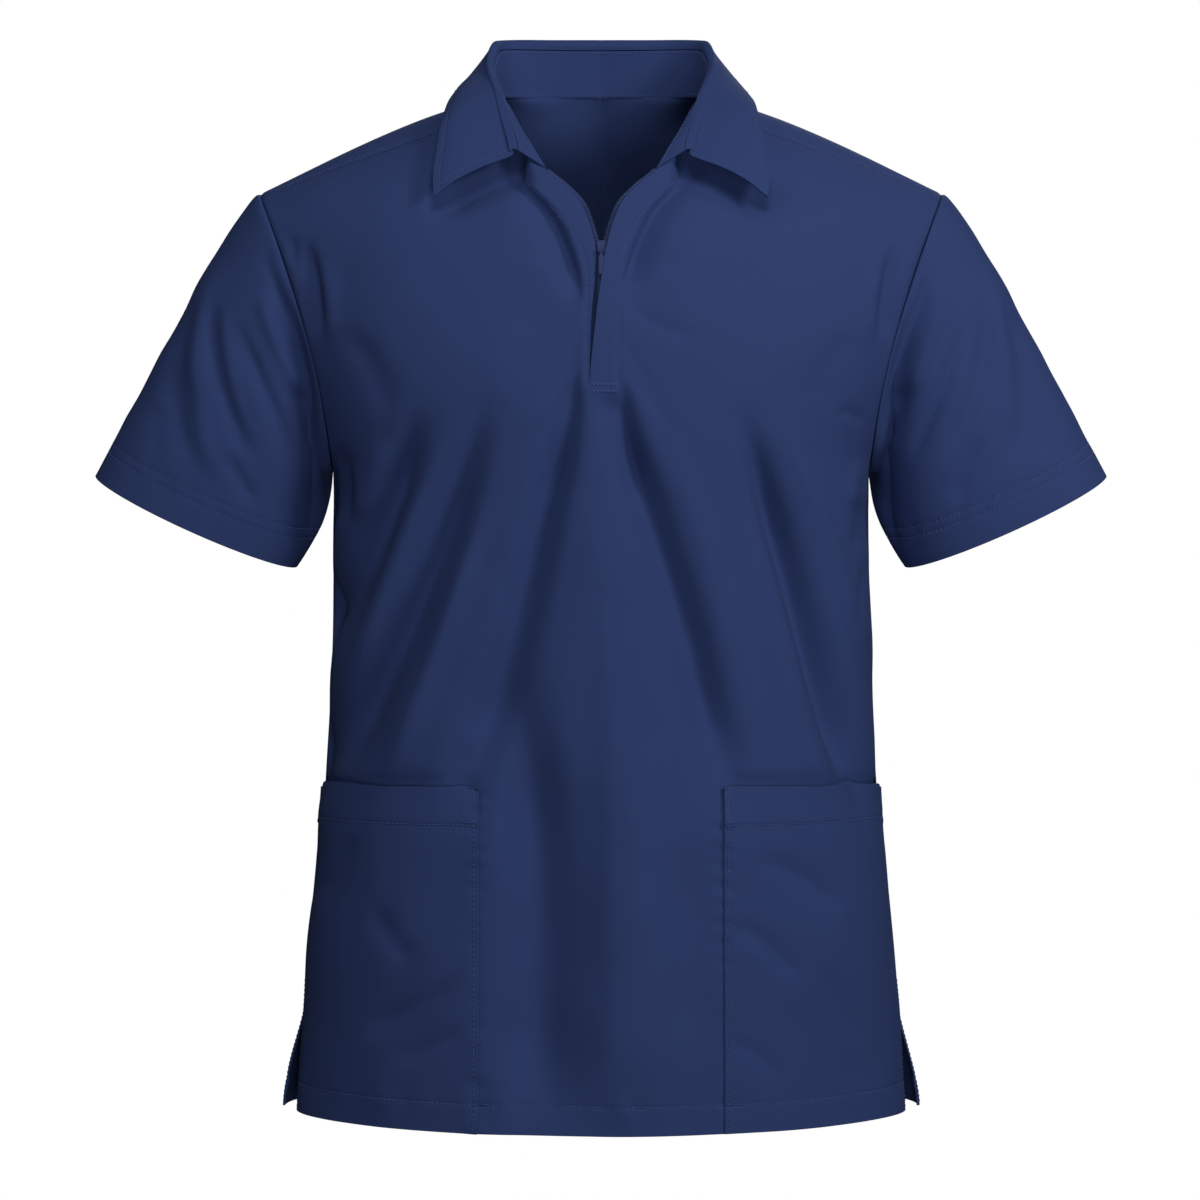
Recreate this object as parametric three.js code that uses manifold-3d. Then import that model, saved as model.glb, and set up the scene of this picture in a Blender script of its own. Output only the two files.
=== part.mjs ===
// A short-sleeved clinic tunic with a shirt collar, a half-length front zip, two large patch
// pockets and side vents, filled out as on a wearer and hollow inside.
// Millimetres. +Z is up, the front faces -Y, and +X is the wearer's left.
// The origin is the middle of the neck opening, at the height of the shoulders.
import * as THREE from "three";
import Module from "manifold-3d";

// Driving dimensions
const CLOTH = 1.2; // wall of a single layer of cloth
const SEAM_GAP = 0.3; // between pieces that are sewn together
const SIDE_GAP = 0.45; // along the side and centre back seams, where the cloth turns at the seam
const HEM_Z = -747.5; // lower edge, front and back
const HEM_DEPTH = 20.5; // turned-up hem
const VENT_TOP_Z = -655; // the side seams are open below this
const UNDERARM_Z = -273;
const ARMHOLE_TOP_Z = -68;
const ARMHOLE_UNDER_X = 199; // half width of the body at the underarm
const ARMHOLE_TOP_X = 253; // half width across the shoulder tips
const ARMHOLE_LEAN = 1.65; // how late the armhole swings outwards as it climbs
const ARMHOLE_FRONT = 58; // how far the armhole bows forwards
const ARMHOLE_BACK = 56;
const SHOULDER_SEAM_ANGLE = 165; // where the forward shoulder seam meets the armhole
const POCKET_TOP_Z = -503;
const POCKET_BAND = 27; // hemmed band along the pocket's mouth
const POCKET_EDGE_X = 87; // inner edge of each pocket from the centre
const POCKET_MOUTH_LIFT = 2.2; // the mouth stands this far off the body
const ZIP_CENTRE_X = 0.2;
const FLAP_LIFT_REACH = 16; // the fly's raised edge dies away over this width
const CUFF_HALF_LENGTH = 81.7; // flattened cuff oval
const CUFF_HALF_DEPTH = 46;
const CUFF_CENTRE = new THREE.Vector3(300.8, -3, -311);
const CUFF_TILT = 24.6; // degrees that the cuff rises outwards
const CUFF_DROOP = 8; // the cuff's front hangs this much lower
const CUFF_HEM = 28;
const SLEEVE_CAP = 5; // the sleeve's top swells this far over a straight line
const SLEEVE_SEAM_OFFSET = 1.5; // the sleeve's first ring outside the armhole
const STAND_SHARE = 0.83; // of the collar's height that the stand takes
const STAND_GAP = 0.6; // between the stand's top and the fall, where the seam turns
const ROLL_RADIUS = 3;
const COLLAR_CLOTH = 1.6; // two layers pressed together
const CLOTH_COLOUR = 0x2c3a67;
const TRIM_COLOUR = 0x273459;

const POCKET_BAND_Z = POCKET_TOP_Z - POCKET_BAND;
const HEM_TOP_Z = HEM_Z + HEM_DEPTH;
const rad = THREE.MathUtils.degToRad;
const smooth = THREE.MathUtils.smoothstep;
const vec = (x, y, z) => new THREE.Vector3(x, y, z);

// A table's row, worked out between its rows: a smooth cubic in each column that never
// overshoots. rows is a list of lists, names gives the columns, and the first one is the key.
function table(names, rows) {
  const keys = rows.map((row) => row[0]);
  const columns = names.map((_, c) => rows.map((row) => row[c]));
  const slopes = columns.map((column) => {
    const steps = keys.slice(1).map((k, i) => (column[i + 1] - column[i]) / (k - keys[i]));
    return keys.map((_, i) => {
      const before = steps[Math.max(i - 1, 0)];
      const after = steps[Math.min(i, steps.length - 1)];
      return before * after <= 0 ? 0 : (2 * before * after) / (before + after);
    });
  });
  return (key) => {
    const k = THREE.MathUtils.clamp(key, keys[0], keys.at(-1));
    let i = keys.findIndex((_, n) => n < keys.length - 1 && k <= keys[n + 1]);
    i = Math.max(i, 0);
    const span = keys[i + 1] - keys[i];
    const t = (k - keys[i]) / span;
    const value = {};
    names.forEach((name, c) => {
      const [p, q] = [columns[c][i], columns[c][i + 1]];
      const [m, n] = [slopes[c][i] * span, slopes[c][i + 1] * span];
      value[name] =
        p * (2 * t ** 3 - 3 * t ** 2 + 1) +
        m * (t ** 3 - 2 * t ** 2 + t) +
        q * (3 * t ** 2 - 2 * t ** 3) +
        n * (t ** 3 - t ** 2);
    });
    return value;
  };
}

// The body below the underarm: level rings, from the hem up
const bodyRing = table(
  ["z", "halfWidth", "front", "back"],
  [
    [HEM_Z, 223.5, 135, 124],
    [VENT_TOP_Z, 218.5, 131, 119],
    [POCKET_TOP_Z, 205, 124, 112],
    [-370, 199.5, 121, 107],
    [UNDERARM_Z, ARMHOLE_UNDER_X, 123, 111],
  ],
);

// The collar, station by station from the back of the neck (0) past the shoulder seam to one
// front end (1): the neck seam, the roll line along its top and the outer edge of the fall
const SHOULDER_STATION = 0.64;
const collarStation = table(
  ["s", "neckX", "neckY", "neckZ", "rollX", "rollY", "rollZ", "edgeX", "edgeY", "edgeZ"],
  [
    [0, 0, 72, 16, 0, 64, 57, 0, 88, 10],
    [0.17, 42, 65, 14.5, 48, 60, 57, 58, 86, 9],
    [0.33, 67, 41, 11, 77, 41, 53.5, 97, 58, 8],
    [0.48, 75, 8, 5, 82, 11, 33, 110, 14, 6],
    [SHOULDER_STATION, 68, -32, -8, 75, -22, 7, 115.5, -37, -17],
    [0.78, 59, -54, -27, 70, -50, -18, 119, -64, -45],
    [0.9, 50, -68, -43, 66, -66, -34, 121, -80, -66],
    [1, 41, -78, -58.5, 64, -74, -43, 119.5, -90, -81],
  ],
);
const neckSeam = (station) => {
  const row = collarStation(station);
  return vec(row.neckX, row.neckY, row.neckZ);
};

// The front above the underarm. Each row of cloth runs from its inner end, which is the centre
// line, the zip's slit, the open neck's edge and then the neck seam, to an angle on the armhole.
const SLIT_BOTTOM = 0.38;
const SLIDER_ROW = 0.72;
const NECK_CORNER = 0.88;
const frontRow = table(
  ["a", "angle", "leftX", "rightX", "y", "z", "turn", "lift"],
  [
    [0, 0, 0, 0, -123, UNDERARM_Z, 90, 0],
    [0.2, 33, -2, -2, -123, -250, 82, 0],
    [SLIT_BOTTOM, 63, -8, -8, -121, -217, 72, 0],
    [0.55, 91, -6, -4, -115, -168, 62, 2.6],
    [0.66, 109, -3.4, 3.4, -109.5, -138, 54, 3],
    [SLIDER_ROW, 119, -3.2, 3.5, -106.2, -122.5, 50, 2.2],
    [0.8, 132, -13, 13, -96, -88, 42, 0.6],
    [0.84, 138, -25, 25, -88, -73, 38, 0],
    [NECK_CORNER, 145, -41, 41, -78, -58.5, 34, 0],
    [0.94, 155, -57, 57, -57, -30, 27, 0],
    [1, SHOULDER_SEAM_ANGLE, -68, 68, -32, -8, 20, 0],
  ],
);

// The back above the underarm, up the centre seam, round the back of the neck and over the
// shoulder to the forward shoulder seam
const BACK_NECK = 0.72;
const backRow = table(
  ["a", "angle", "x", "y", "z", "turn", "arch"],
  [
    [0, 0, 0, 111, UNDERARM_Z, 90, 0],
    [0.15, 30, 0, 115, -238, 82, 0],
    [0.3, 62, 0, 118, -190, 72, 0],
    [0.45, 95, 0, 115, -125, 60, 0],
    [0.6, 128, 0, 99, -50, 48, 2],
    [BACK_NECK, 150, 0, 72, 16, 38, 4],
    [0.8, 160, 42, 65, 14.5, 32, 6],
    [0.87, 169, 67, 41, 11, 28, 8.5],
    [0.93, 179, 75, 8, 5, 24, 10],
    [1, 360 - SHOULDER_SEAM_ANGLE, 68, -32, -8, 20, 0],
  ],
);

// The largest folds, as seen from the front or the back: each is a trough along a curve through
// three points, with a gentle left side and a sharp right one or the reverse. Ridges are
// negative depths.
const FOLD_COLUMNS = ["x0", "z0", "x1", "z1", "x2", "z2", "left", "right", "depth"];
const FRONT_FOLDS = [
  [-122, -262, -152, -335, -186, -440, 17, 8, 6],
  [-77, -258, -112, -360, -174, -505, 22, 10, 8],
  [-20, -228, -28, -330, -76, -520, 20, 9, 8],
  [-34, -440, -24, -590, -10, -765, 26, 12, 8],
  [-213, -108, -209, -150, -204, -205, 7, 5, 8],
  [-156, -262, -165, -290, -184, -318, 10, 5, 3],
  [20, -222, 52, -340, 95, -500, 20, 10, 7],
  [98, -258, 134, -350, 186, -505, 15, 14, 8],
  [150, -284, 168, -305, 192, -318, 13, 12, 4],
  [211, -112, 208, -150, 203, -200, 5, 7, 7],
  [-200, -560, -150, -600, -120, -610, 18, 18, 4],
  [120, -555, 160, -590, 205, -640, 18, 18, 4],
];
const BACK_FOLDS = [
  [-95, -150, -110, -360, -150, -765, 24, 16, 9],
  [-30, -250, -38, -480, -40, -765, 18, 26, 7],
  [52, -200, 60, -450, 72, -765, 26, 18, 8],
  [120, -160, 138, -380, 165, -765, 16, 24, 9],
  [-206, -110, -200, -150, -196, -200, 7, 6, 6],
  [206, -110, 200, -150, 196, -200, 6, 7, 6],
];
const SLEEVE_FOLDS = [
  [-283, -168, -286, -205, -268, -255, 12, 10, 5],
  [-262, -178, -244, -215, -222, -262, 11, 9, 6],
  [-238, -140, -226, -170, -212, -215, 9, 8, 6],
];

// How deep a table of folds presses the cloth in at a place on its front view
function foldDepth(folds, x, z) {
  let total = 0;
  for (const row of folds) {
    const f = Object.fromEntries(FOLD_COLUMNS.map((name, i) => [name, row[i]]));
    let best = { distance: Infinity };
    for (let step = 0; step <= 20; step++) {
      const t = step / 20;
      const [p, q, r] = [(1 - t) ** 2, 2 * t * (1 - t), t ** 2];
      const dx = x - (p * f.x0 + q * f.x1 + r * f.x2);
      const dz = z - (p * f.z0 + q * f.z1 + r * f.z2);
      const distance = Math.hypot(dx, dz);
      if (distance < best.distance) best = { distance, t, side: dx };
    }
    const width = best.side < 0 ? f.left : f.right;
    const ends = smooth(best.t, -0.12, 0.14) * (1 - smooth(best.t, 0.8, 1.1));
    total += f.depth * ends * Math.exp(-((best.distance / width) ** 2));
  }
  return total;
}

// A point of the armhole: angle 0 is the underarm, 90 the front or back, 180 the shoulder tip.
// bow is how far it reaches forwards (negative) or backwards.
function armhole(angle, bow) {
  const middle = (UNDERARM_Z + ARMHOLE_TOP_Z) / 2;
  const z = middle - ((ARMHOLE_TOP_Z - UNDERARM_Z) / 2) * Math.cos(rad(angle));
  const climb = (z - UNDERARM_Z) / (ARMHOLE_TOP_Z - UNDERARM_Z);
  const x = ARMHOLE_UNDER_X + (ARMHOLE_TOP_X - ARMHOLE_UNDER_X) * climb ** ARMHOLE_LEAN;
  return vec(x, bow * Math.sin(rad(angle)), z);
}

// A row of cloth from its inner end to its outer end, part t of the way: an elliptical arc that
// turns through an angle, swollen a little between its ends, with its middle raised by arch
function rowPoint(inner, outer, turn, fullness, arch, t) {
  const across = Math.sin(rad(turn) * t) / Math.sin(rad(turn));
  const round = (1 - Math.cos(rad(turn) * t)) / (1 - Math.cos(rad(turn)));
  const swell = 1 + fullness * Math.sin(Math.PI * t) ** 2;
  return vec(
    (inner.x + (outer.x - inner.x) * across) * swell,
    (inner.y + (outer.y - inner.y) * round) * swell,
    inner.z + (outer.z - inner.z) * across + arch * Math.sin(Math.PI * t ** 0.7),
  );
}

// The front's surface without folds. height runs from 0 at the hem to 1 at the underarm and 2 at
// the shoulder seam, side is -1 or 1, and t runs from the centre to the side seam or armhole.
const HEM_RISE = 3.5; // the hem's ends, beside the vents, are this much higher
const hemRise = (height, t) => HEM_RISE * t ** 3 * (1 - smooth(height, 0, 0.2));
const fullness = (height) => 0.065 * smooth(height, 0, 0.35) - 0.02 - 0.045 * smooth(height, 1, 2);
function frontBase(height, side, t, flap = 1) {
  if (height <= 1) {
    const z = THREE.MathUtils.lerp(HEM_Z, UNDERARM_Z, height);
    const ring = bodyRing(z);
    const open = smooth(VENT_TOP_Z - z, 0, VENT_TOP_Z - HEM_Z);
    const outer = vec(side * ring.halfWidth, -SIDE_GAP / 2 - 9 * open, z);
    return rowPoint(vec(0, -ring.front, z), outer, 90, fullness(height), hemRise(height, t), t);
  }
  const row = frontRow(height - 1);
  const station = THREE.MathUtils.mapLinear(height, 1 + NECK_CORNER, 2, 1, SHOULDER_STATION);
  const seam = neckSeam(Math.min(station, 1));
  const inner = station < 1
    ? vec(side * seam.x, seam.y, seam.z)
    : vec(side < 0 ? row.leftX : row.rightX, row.y, row.z);
  const outer = armhole(row.angle, -ARMHOLE_FRONT);
  outer.x *= side;
  outer.y -= SIDE_GAP / 2;
  const point = rowPoint(inner, outer, row.turn, fullness(height), 0, t);
  const reach = Math.exp(-(((point.x - inner.x) / FLAP_LIFT_REACH) ** 2));
  point.y -= side > 0 ? row.lift * reach * flap : 0;
  return point;
}

// The back's surface without folds, in the same terms
function backBase(height, side, t) {
  if (height <= 1) {
    const z = THREE.MathUtils.lerp(HEM_Z, UNDERARM_Z, height);
    const ring = bodyRing(z);
    const open = smooth(VENT_TOP_Z - z, 0, VENT_TOP_Z - HEM_Z);
    const outer = vec(side * (ring.halfWidth + 14.5 * open), SIDE_GAP / 2 + 7 * open, z);
    const inner = vec((side * SIDE_GAP) / 2, ring.back, z);
    return rowPoint(inner, outer, 90, fullness(height), hemRise(height, t), t);
  }
  const row = backRow(height - 1);
  const station = THREE.MathUtils.mapLinear(height, 1 + BACK_NECK, 2, 0, SHOULDER_STATION);
  const inner = station > 0 ? neckSeam(station) : vec(0, row.y, row.z);
  inner.x = side * Math.max(inner.x, SIDE_GAP / 2);
  const outer = row.angle <= 180
    ? armhole(row.angle, ARMHOLE_BACK)
    : armhole(360 - row.angle, -ARMHOLE_FRONT);
  outer.x *= side;
  outer.y += row.angle < 90 ? SIDE_GAP / 2 : 0;
  return rowPoint(inner, outer, row.turn, fullness(height), row.arch, t);
}

// The outward normal of the front's side of a surface function, by small steps along it
function surfaceNormal(surface, height, side, t) {
  const step = 0.004;
  const [low, high] = [Math.max(height - step, 0), Math.min(height + step, 2)];
  const [near, far] = [Math.max(t - step, 0), Math.min(t + step, 1)];
  const up = surface(high, side, t).sub(surface(low, side, t));
  const out = surface(height, side, far).sub(surface(height, side, near));
  return out.cross(up).multiplyScalar(side).normalize();
}

// The front's surface with its folds, moved out by offset. The folds die away at the seams.
function frontSurface(height, side, t, offset = 0) {
  const base = frontBase(height, side, t);
  const normal = surfaceNormal(frontBase, height, side, t);
  const side_fade = smooth((1 - t) * 260, 0, 12);
  const fly = smooth(height, 1 + SLIT_BOTTOM - 0.1, 1 + SLIT_BOTTOM);
  const edge_fade = THREE.MathUtils.lerp(1, smooth(t * 220, 20, 40), fly);
  const top_fade = 1 - smooth(height, 1.82, 2);
  const depth = foldDepth(FRONT_FOLDS, base.x, base.z) * side_fade * edge_fade * top_fade;
  return base.addScaledVector(normal, offset - depth);
}

function backSurface(height, side, t, offset = 0) {
  const base = backBase(height, side, t);
  const normal = surfaceNormal(backBase, height, side, t).negate();
  const side_fade = smooth((1 - t) * 260, 0, 12);
  const centre_fade = smooth(t * 260, 0, 14);
  const top_fade = 1 - smooth(height, 1.5, 1.7);
  const depth = foldDepth(BACK_FOLDS, base.x, base.z) * side_fade * centre_fade * top_fade;
  return base.addScaledVector(normal, offset - depth);
}

// The outward normal at each point of a mesh of quads
function normalsOf(points, quads) {
  const normals = points.map(() => vec(0, 0, 0));
  for (const [a, b, c, d] of quads) {
    const across = points[c].clone().sub(points[a]);
    const normal = across.cross(points[d].clone().sub(points[b]));
    for (const corner of [a, b, c, d]) normals[corner].add(normal);
  }
  return normals.map((normal) => normal.normalize());
}

// A wall of cloth round a mesh of quads: each vertex is moved out and in along its normal, and
// the open edges are closed. Both thicknesses are functions of the vertex's number.
function wall(points, quads, outward, inward, normals = normalsOf(points, quads)) {
  const count = points.length;
  const moved = [
    ...points.map((p, i) => p.clone().addScaledVector(normals[i], outward(i))),
    ...points.map((p, i) => p.clone().addScaledVector(normals[i], -inward(i))),
  ];
  const faces = [];
  const addQuad = (a, b, c, d) => faces.push(a, b, c, a, c, d);
  const edges = new Map();
  for (const [a, b, c, d] of quads) {
    addQuad(a, b, c, d);
    faces.push(a + count, c + count, b + count, a + count, d + count, c + count);
    for (const [p, q] of [[a, b], [b, c], [c, d], [d, a]]) edges.set(`${p},${q}`, [p, q]);
  }
  for (const [p, q] of edges.values()) {
    if (edges.has(`${q},${p}`)) continue;
    if (p < q) addQuad(p, p + count, q + count, q);
    else addQuad(q, p, p + count, q + count);
  }
  const geometry = new THREE.BufferGeometry();
  const flat = new Float32Array(moved.flatMap((p) => [p.x, p.y, p.z]));
  geometry.setAttribute("position", new THREE.BufferAttribute(flat, 3));
  geometry.setIndex(faces);
  geometry.computeVertexNormals();
  return geometry;
}

// The quads of a grid of points, a list of rows. Rows go up and columns go round; facing 1 puts
// the outside on the side that sees the columns run from left to right.
function gridQuads(rows, facing, ring) {
  const width = rows[0].length;
  const quads = [];
  for (let r = 0; r < rows.length - 1; r++) {
    for (let c = 0; c < (ring ? width : width - 1); c++) {
      const next = (c + 1) % width;
      const quad = [r * width + c, r * width + next, (r + 1) * width + next, (r + 1) * width + c];
      quads.push(facing > 0 ? quad : [quad[0], quad[3], quad[2], quad[1]]);
    }
  }
  return quads;
}
function gridNormals(rows, { facing = 1, ring = false }) {
  return normalsOf(rows.flat(), gridQuads(rows, facing, ring));
}

// A wall on such a grid. Both thicknesses are numbers, or functions of the row.
function gridWall(rows, { facing = 1, ring = false, outward, inward, normals }) {
  const width = rows[0].length;
  const byRow = (value) => (i) => (typeof value === "function" ? value(Math.floor(i / width)) : value);
  const quads = gridQuads(rows, facing, ring);
  return wall(rows.flat(), quads, byRow(outward), byRow(inward), normals);
}

const group = new THREE.Group();
const cloth = new THREE.MeshStandardMaterial({ color: CLOTH_COLOUR, roughness: 0.8, metalness: 0 });
const trim = new THREE.MeshStandardMaterial({ color: TRIM_COLOUR, roughness: 0.55, metalness: 0 });
const metal = new THREE.MeshStandardMaterial({ color: 0x2a3352, roughness: 0.4, metalness: 0.3 });
function add(name, geometry, material = cloth) {
  const mesh = new THREE.Mesh(geometry, material);
  mesh.name = name;
  group.add(mesh);
  return mesh;
}

// The heights of the rows of cloth: hem, vents, pocket mouth and underarm, then up to a seam
const heightOf = (z) => (z - HEM_Z) / (UNDERARM_Z - HEM_Z);
const between = (from, to, count) =>
  Array.from({ length: count }, (_, i) => from + ((to - from) * (i + 1)) / count);
const HEM_STEP = 1;
const SHOULDER_GAP = 0.0012; // leaves the shoulder seam open by SEAM_GAP
const FRONT_NECK_ROWS = 4;
const BACK_NECK_ROWS = 6;
const LOWER_HEIGHTS = [
  0,
  heightOf(HEM_TOP_Z - HEM_STEP),
  heightOf(HEM_TOP_Z),
  ...between(heightOf(HEM_TOP_Z), heightOf(VENT_TOP_Z), 3),
  ...between(heightOf(VENT_TOP_Z), heightOf(POCKET_BAND_Z), 5),
  ...between(heightOf(POCKET_BAND_Z), heightOf(POCKET_TOP_Z), 1),
  ...between(heightOf(POCKET_TOP_Z), 1, 9),
];
const POCKET_ROWS = LOWER_HEIGHTS.filter((h) => h <= heightOf(POCKET_TOP_Z) + 1e-9);
const FRONT_HEIGHTS = [
  ...LOWER_HEIGHTS,
  ...between(1, 1 + SLIT_BOTTOM, 3),
  ...between(1 + SLIT_BOTTOM, 1 + SLIDER_ROW, 4),
  ...between(1 + SLIDER_ROW, 1 + NECK_CORNER, 3),
  ...between(1 + NECK_CORNER, 2, FRONT_NECK_ROWS).map((h) => Math.min(h, 2 - SHOULDER_GAP)),
];
const BACK_HEIGHTS = [
  ...LOWER_HEIGHTS,
  ...between(1, 1 + BACK_NECK, 6),
  ...between(1 + BACK_NECK, 2, BACK_NECK_ROWS),
];

// The columns of the front: one of them runs along the pocket's inner edge
const INNER_COLUMNS = 4;
const OUTER_COLUMNS = 10;
const COLUMNS = INNER_COLUMNS + OUTER_COLUMNS;
function frontColumn(height, column) {
  const z = THREE.MathUtils.lerp(HEM_Z, UNDERARM_Z, Math.min(height, heightOf(POCKET_TOP_Z)));
  const edge = Math.asin(POCKET_EDGE_X / (bodyRing(z).halfWidth * (1 + fullness(height) * 0.6))) / rad(90);
  return column <= INNER_COLUMNS
    ? (edge * column) / INNER_COLUMNS
    : edge + ((1 - edge) * (column - INNER_COLUMNS)) / OUTER_COLUMNS;
}

// The front is one piece, cut down the middle from the neck to the slit's lower end. ids holds
// each row's point numbers from the wearer's right to the left.
function frontSheet() {
  const points = [];
  const rows = FRONT_HEIGHTS.map((height) => {
    const ids = [];
    for (let column = -COLUMNS; column <= COLUMNS; column++) {
      const side = column < 0 ? -1 : 1;
      ids.push(points.length);
      points.push(frontSurface(height, side, frontColumn(height, Math.abs(column))));
    }
    const cut = height > 1 + SLIT_BOTTOM + 1e-9;
    const rightEdge = cut ? points.length : ids[COLUMNS];
    if (cut) points.push(frontSurface(height, -1, 0));
    return { ids, rightEdge };
  });
  const quads = [];
  for (let r = 0; r < rows.length - 1; r++) {
    for (let c = 0; c < 2 * COLUMNS; c++) {
      const [low, high] = [rows[r], rows[r + 1]];
      const end = (row) => (c + 1 === COLUMNS ? row.rightEdge : row.ids[c + 1]);
      quads.push([low.ids[c], end(low), end(high), high.ids[c]]);
    }
  }
  return { points, rows, quads, normals: normalsOf(points, quads) };
}
const frontCloth = frontSheet();
const hemPoints = 2 * (2 * COLUMNS + 1);
add(
  "front",
  wall(
    frontCloth.points,
    frontCloth.quads,
    () => CLOTH / 2,
    (i) => (i < hemPoints ? CLOTH * 1.5 : CLOTH / 2),
  ),
);

// Two back panels, sewn together down the centre, which reach over the shoulders
const BACK_COLUMNS = 12;
function backPanel(side) {
  const rows = BACK_HEIGHTS.map((height) =>
    Array.from({ length: BACK_COLUMNS + 1 }, (_, c) => backSurface(height, side, c / BACK_COLUMNS)),
  );
  const inward = (row) => (row < 2 ? CLOTH * 1.5 : CLOTH / 2);
  return gridWall(rows, { facing: -side, outward: CLOTH / 2, inward });
}
add("back_left", backPanel(1));
add("back_right", backPanel(-1));

// Patch pockets: the front's own points moved out, so that they lie on it everywhere, from the
// mouth to the hem and from the inner edge to the side seam
const POCKET_OFFSET = CLOTH + SEAM_GAP;
function pocket(side) {
  const rows = POCKET_ROWS.map((height, r) =>
    Array.from({ length: OUTER_COLUMNS + 1 }, (_, i) => {
      const c = side > 0 ? i : OUTER_COLUMNS - i;
      const id = frontCloth.rows[r].ids[COLUMNS + side * (INNER_COLUMNS + c)];
      const mouth = smooth(height, heightOf(POCKET_BAND_Z - 60), heightOf(POCKET_TOP_Z));
      const lift = mouth * POCKET_MOUTH_LIFT * (0.3 + 0.7 * Math.sin((Math.PI * c) / OUTER_COLUMNS));
      return frontCloth.points[id]
        .clone()
        .addScaledVector(frontCloth.normals[id], POCKET_OFFSET + lift);
    }),
  );
  const outward = (row) => (row >= POCKET_ROWS.length - 2 ? CLOTH * 1.2 : CLOTH / 2);
  return gridWall(rows, { outward, inward: CLOTH / 2 });
}
add("pocket_left", pocket(1));
add("pocket_right", pocket(-1));

// Sleeves: each is a tube from its armhole to its cuff
const SLEEVE_RINGS = [0, 0.1, 0.22, 0.36, 0.5, 0.65, 0.78];
const SLEEVE_STEPS = 24;
function cuffPoint(angle) {
  const along = vec(Math.cos(rad(CUFF_TILT)), 0, Math.sin(rad(CUFF_TILT)));
  const down = vec(Math.sin(rad(CUFF_TILT)), 0, -Math.cos(rad(CUFF_TILT)));
  return CUFF_CENTRE.clone()
    .addScaledVector(along, -CUFF_HALF_LENGTH * Math.cos(rad(angle)))
    .addScaledVector(down, CUFF_DROOP * Math.sin(rad(angle)))
    .add(vec(0, -CUFF_HALF_DEPTH * Math.sin(rad(angle)), 0));
}
function sleeveBase(w, angle) {
  const seam = angle <= 180 ? armhole(angle, -ARMHOLE_FRONT) : armhole(360 - angle, ARMHOLE_BACK);
  seam.x += SLEEVE_SEAM_OFFSET;
  const top = Math.max(-Math.cos(rad(angle)), 0);
  const under = Math.max(Math.cos(rad(angle)), 0) ** 2;
  const point = seam.lerp(cuffPoint(angle), w);
  const cap = Math.sin(Math.PI * Math.sqrt(w)) * SLEEVE_CAP * top;
  point.add(vec(cap, 0, cap * 0.5));
  point.x -= Math.sin(Math.PI * w) * 7.5 * under;
  return point;
}
function sleeve(side) {
  const hem = 1 - CUFF_HEM / 205;
  const rings = [...SLEEVE_RINGS, hem, hem + 0.006, 1];
  const rows = rings.map((w) =>
    Array.from({ length: SLEEVE_STEPS }, (_, i) => {
      const angle = (360 * i) / SLEEVE_STEPS;
      const base = sleeveBase(w, angle);
      const centre = sleeveBase(w, 0).lerp(sleeveBase(w, 180), 0.5);
      const outwards = base.clone().sub(centre).normalize();
      const fade = smooth(w, 0, 0.12) * (1 - smooth(w, 0.72, 0.86));
      base.addScaledVector(outwards, -foldDepth(SLEEVE_FOLDS, -base.x, base.z) * fade);
      base.x *= side;
      return base;
    }),
  );
  const inward = (row) => (row >= rings.length - 2 ? CLOTH * 1.5 : CLOTH / 2);
  return gridWall(rows, { facing: -side, ring: true, outward: CLOTH / 2, inward });
}
add("sleeve_left", sleeve(1));
add("sleeve_right", sleeve(-1));

// The collar: a stand that rises from the neck seam, and a fall that rolls over the stand's top
// and lies on the shoulders. Its stations are the ends of the panels' rows.
const halfStations = [
  ...between(0, SHOULDER_STATION, BACK_NECK_ROWS),
  ...between(SHOULDER_STATION, 1, FRONT_NECK_ROWS),
];
const stations = [...halfStations.map((s) => -s).reverse(), 0, ...halfStations];

const collarHalf = COLLAR_CLOTH / 2;
function neckNormal(station) {
  if (station >= SHOULDER_STATION) {
    const height = THREE.MathUtils.mapLinear(station, 1, SHOULDER_STATION, 1 + NECK_CORNER, 2);
    return surfaceNormal(frontBase, height, 1, 0);
  }
  const height = THREE.MathUtils.mapLinear(station, 0, SHOULDER_STATION, 1 + BACK_NECK, 2);
  return surfaceNormal(backBase, height, 1, 0).negate();
}

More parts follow.
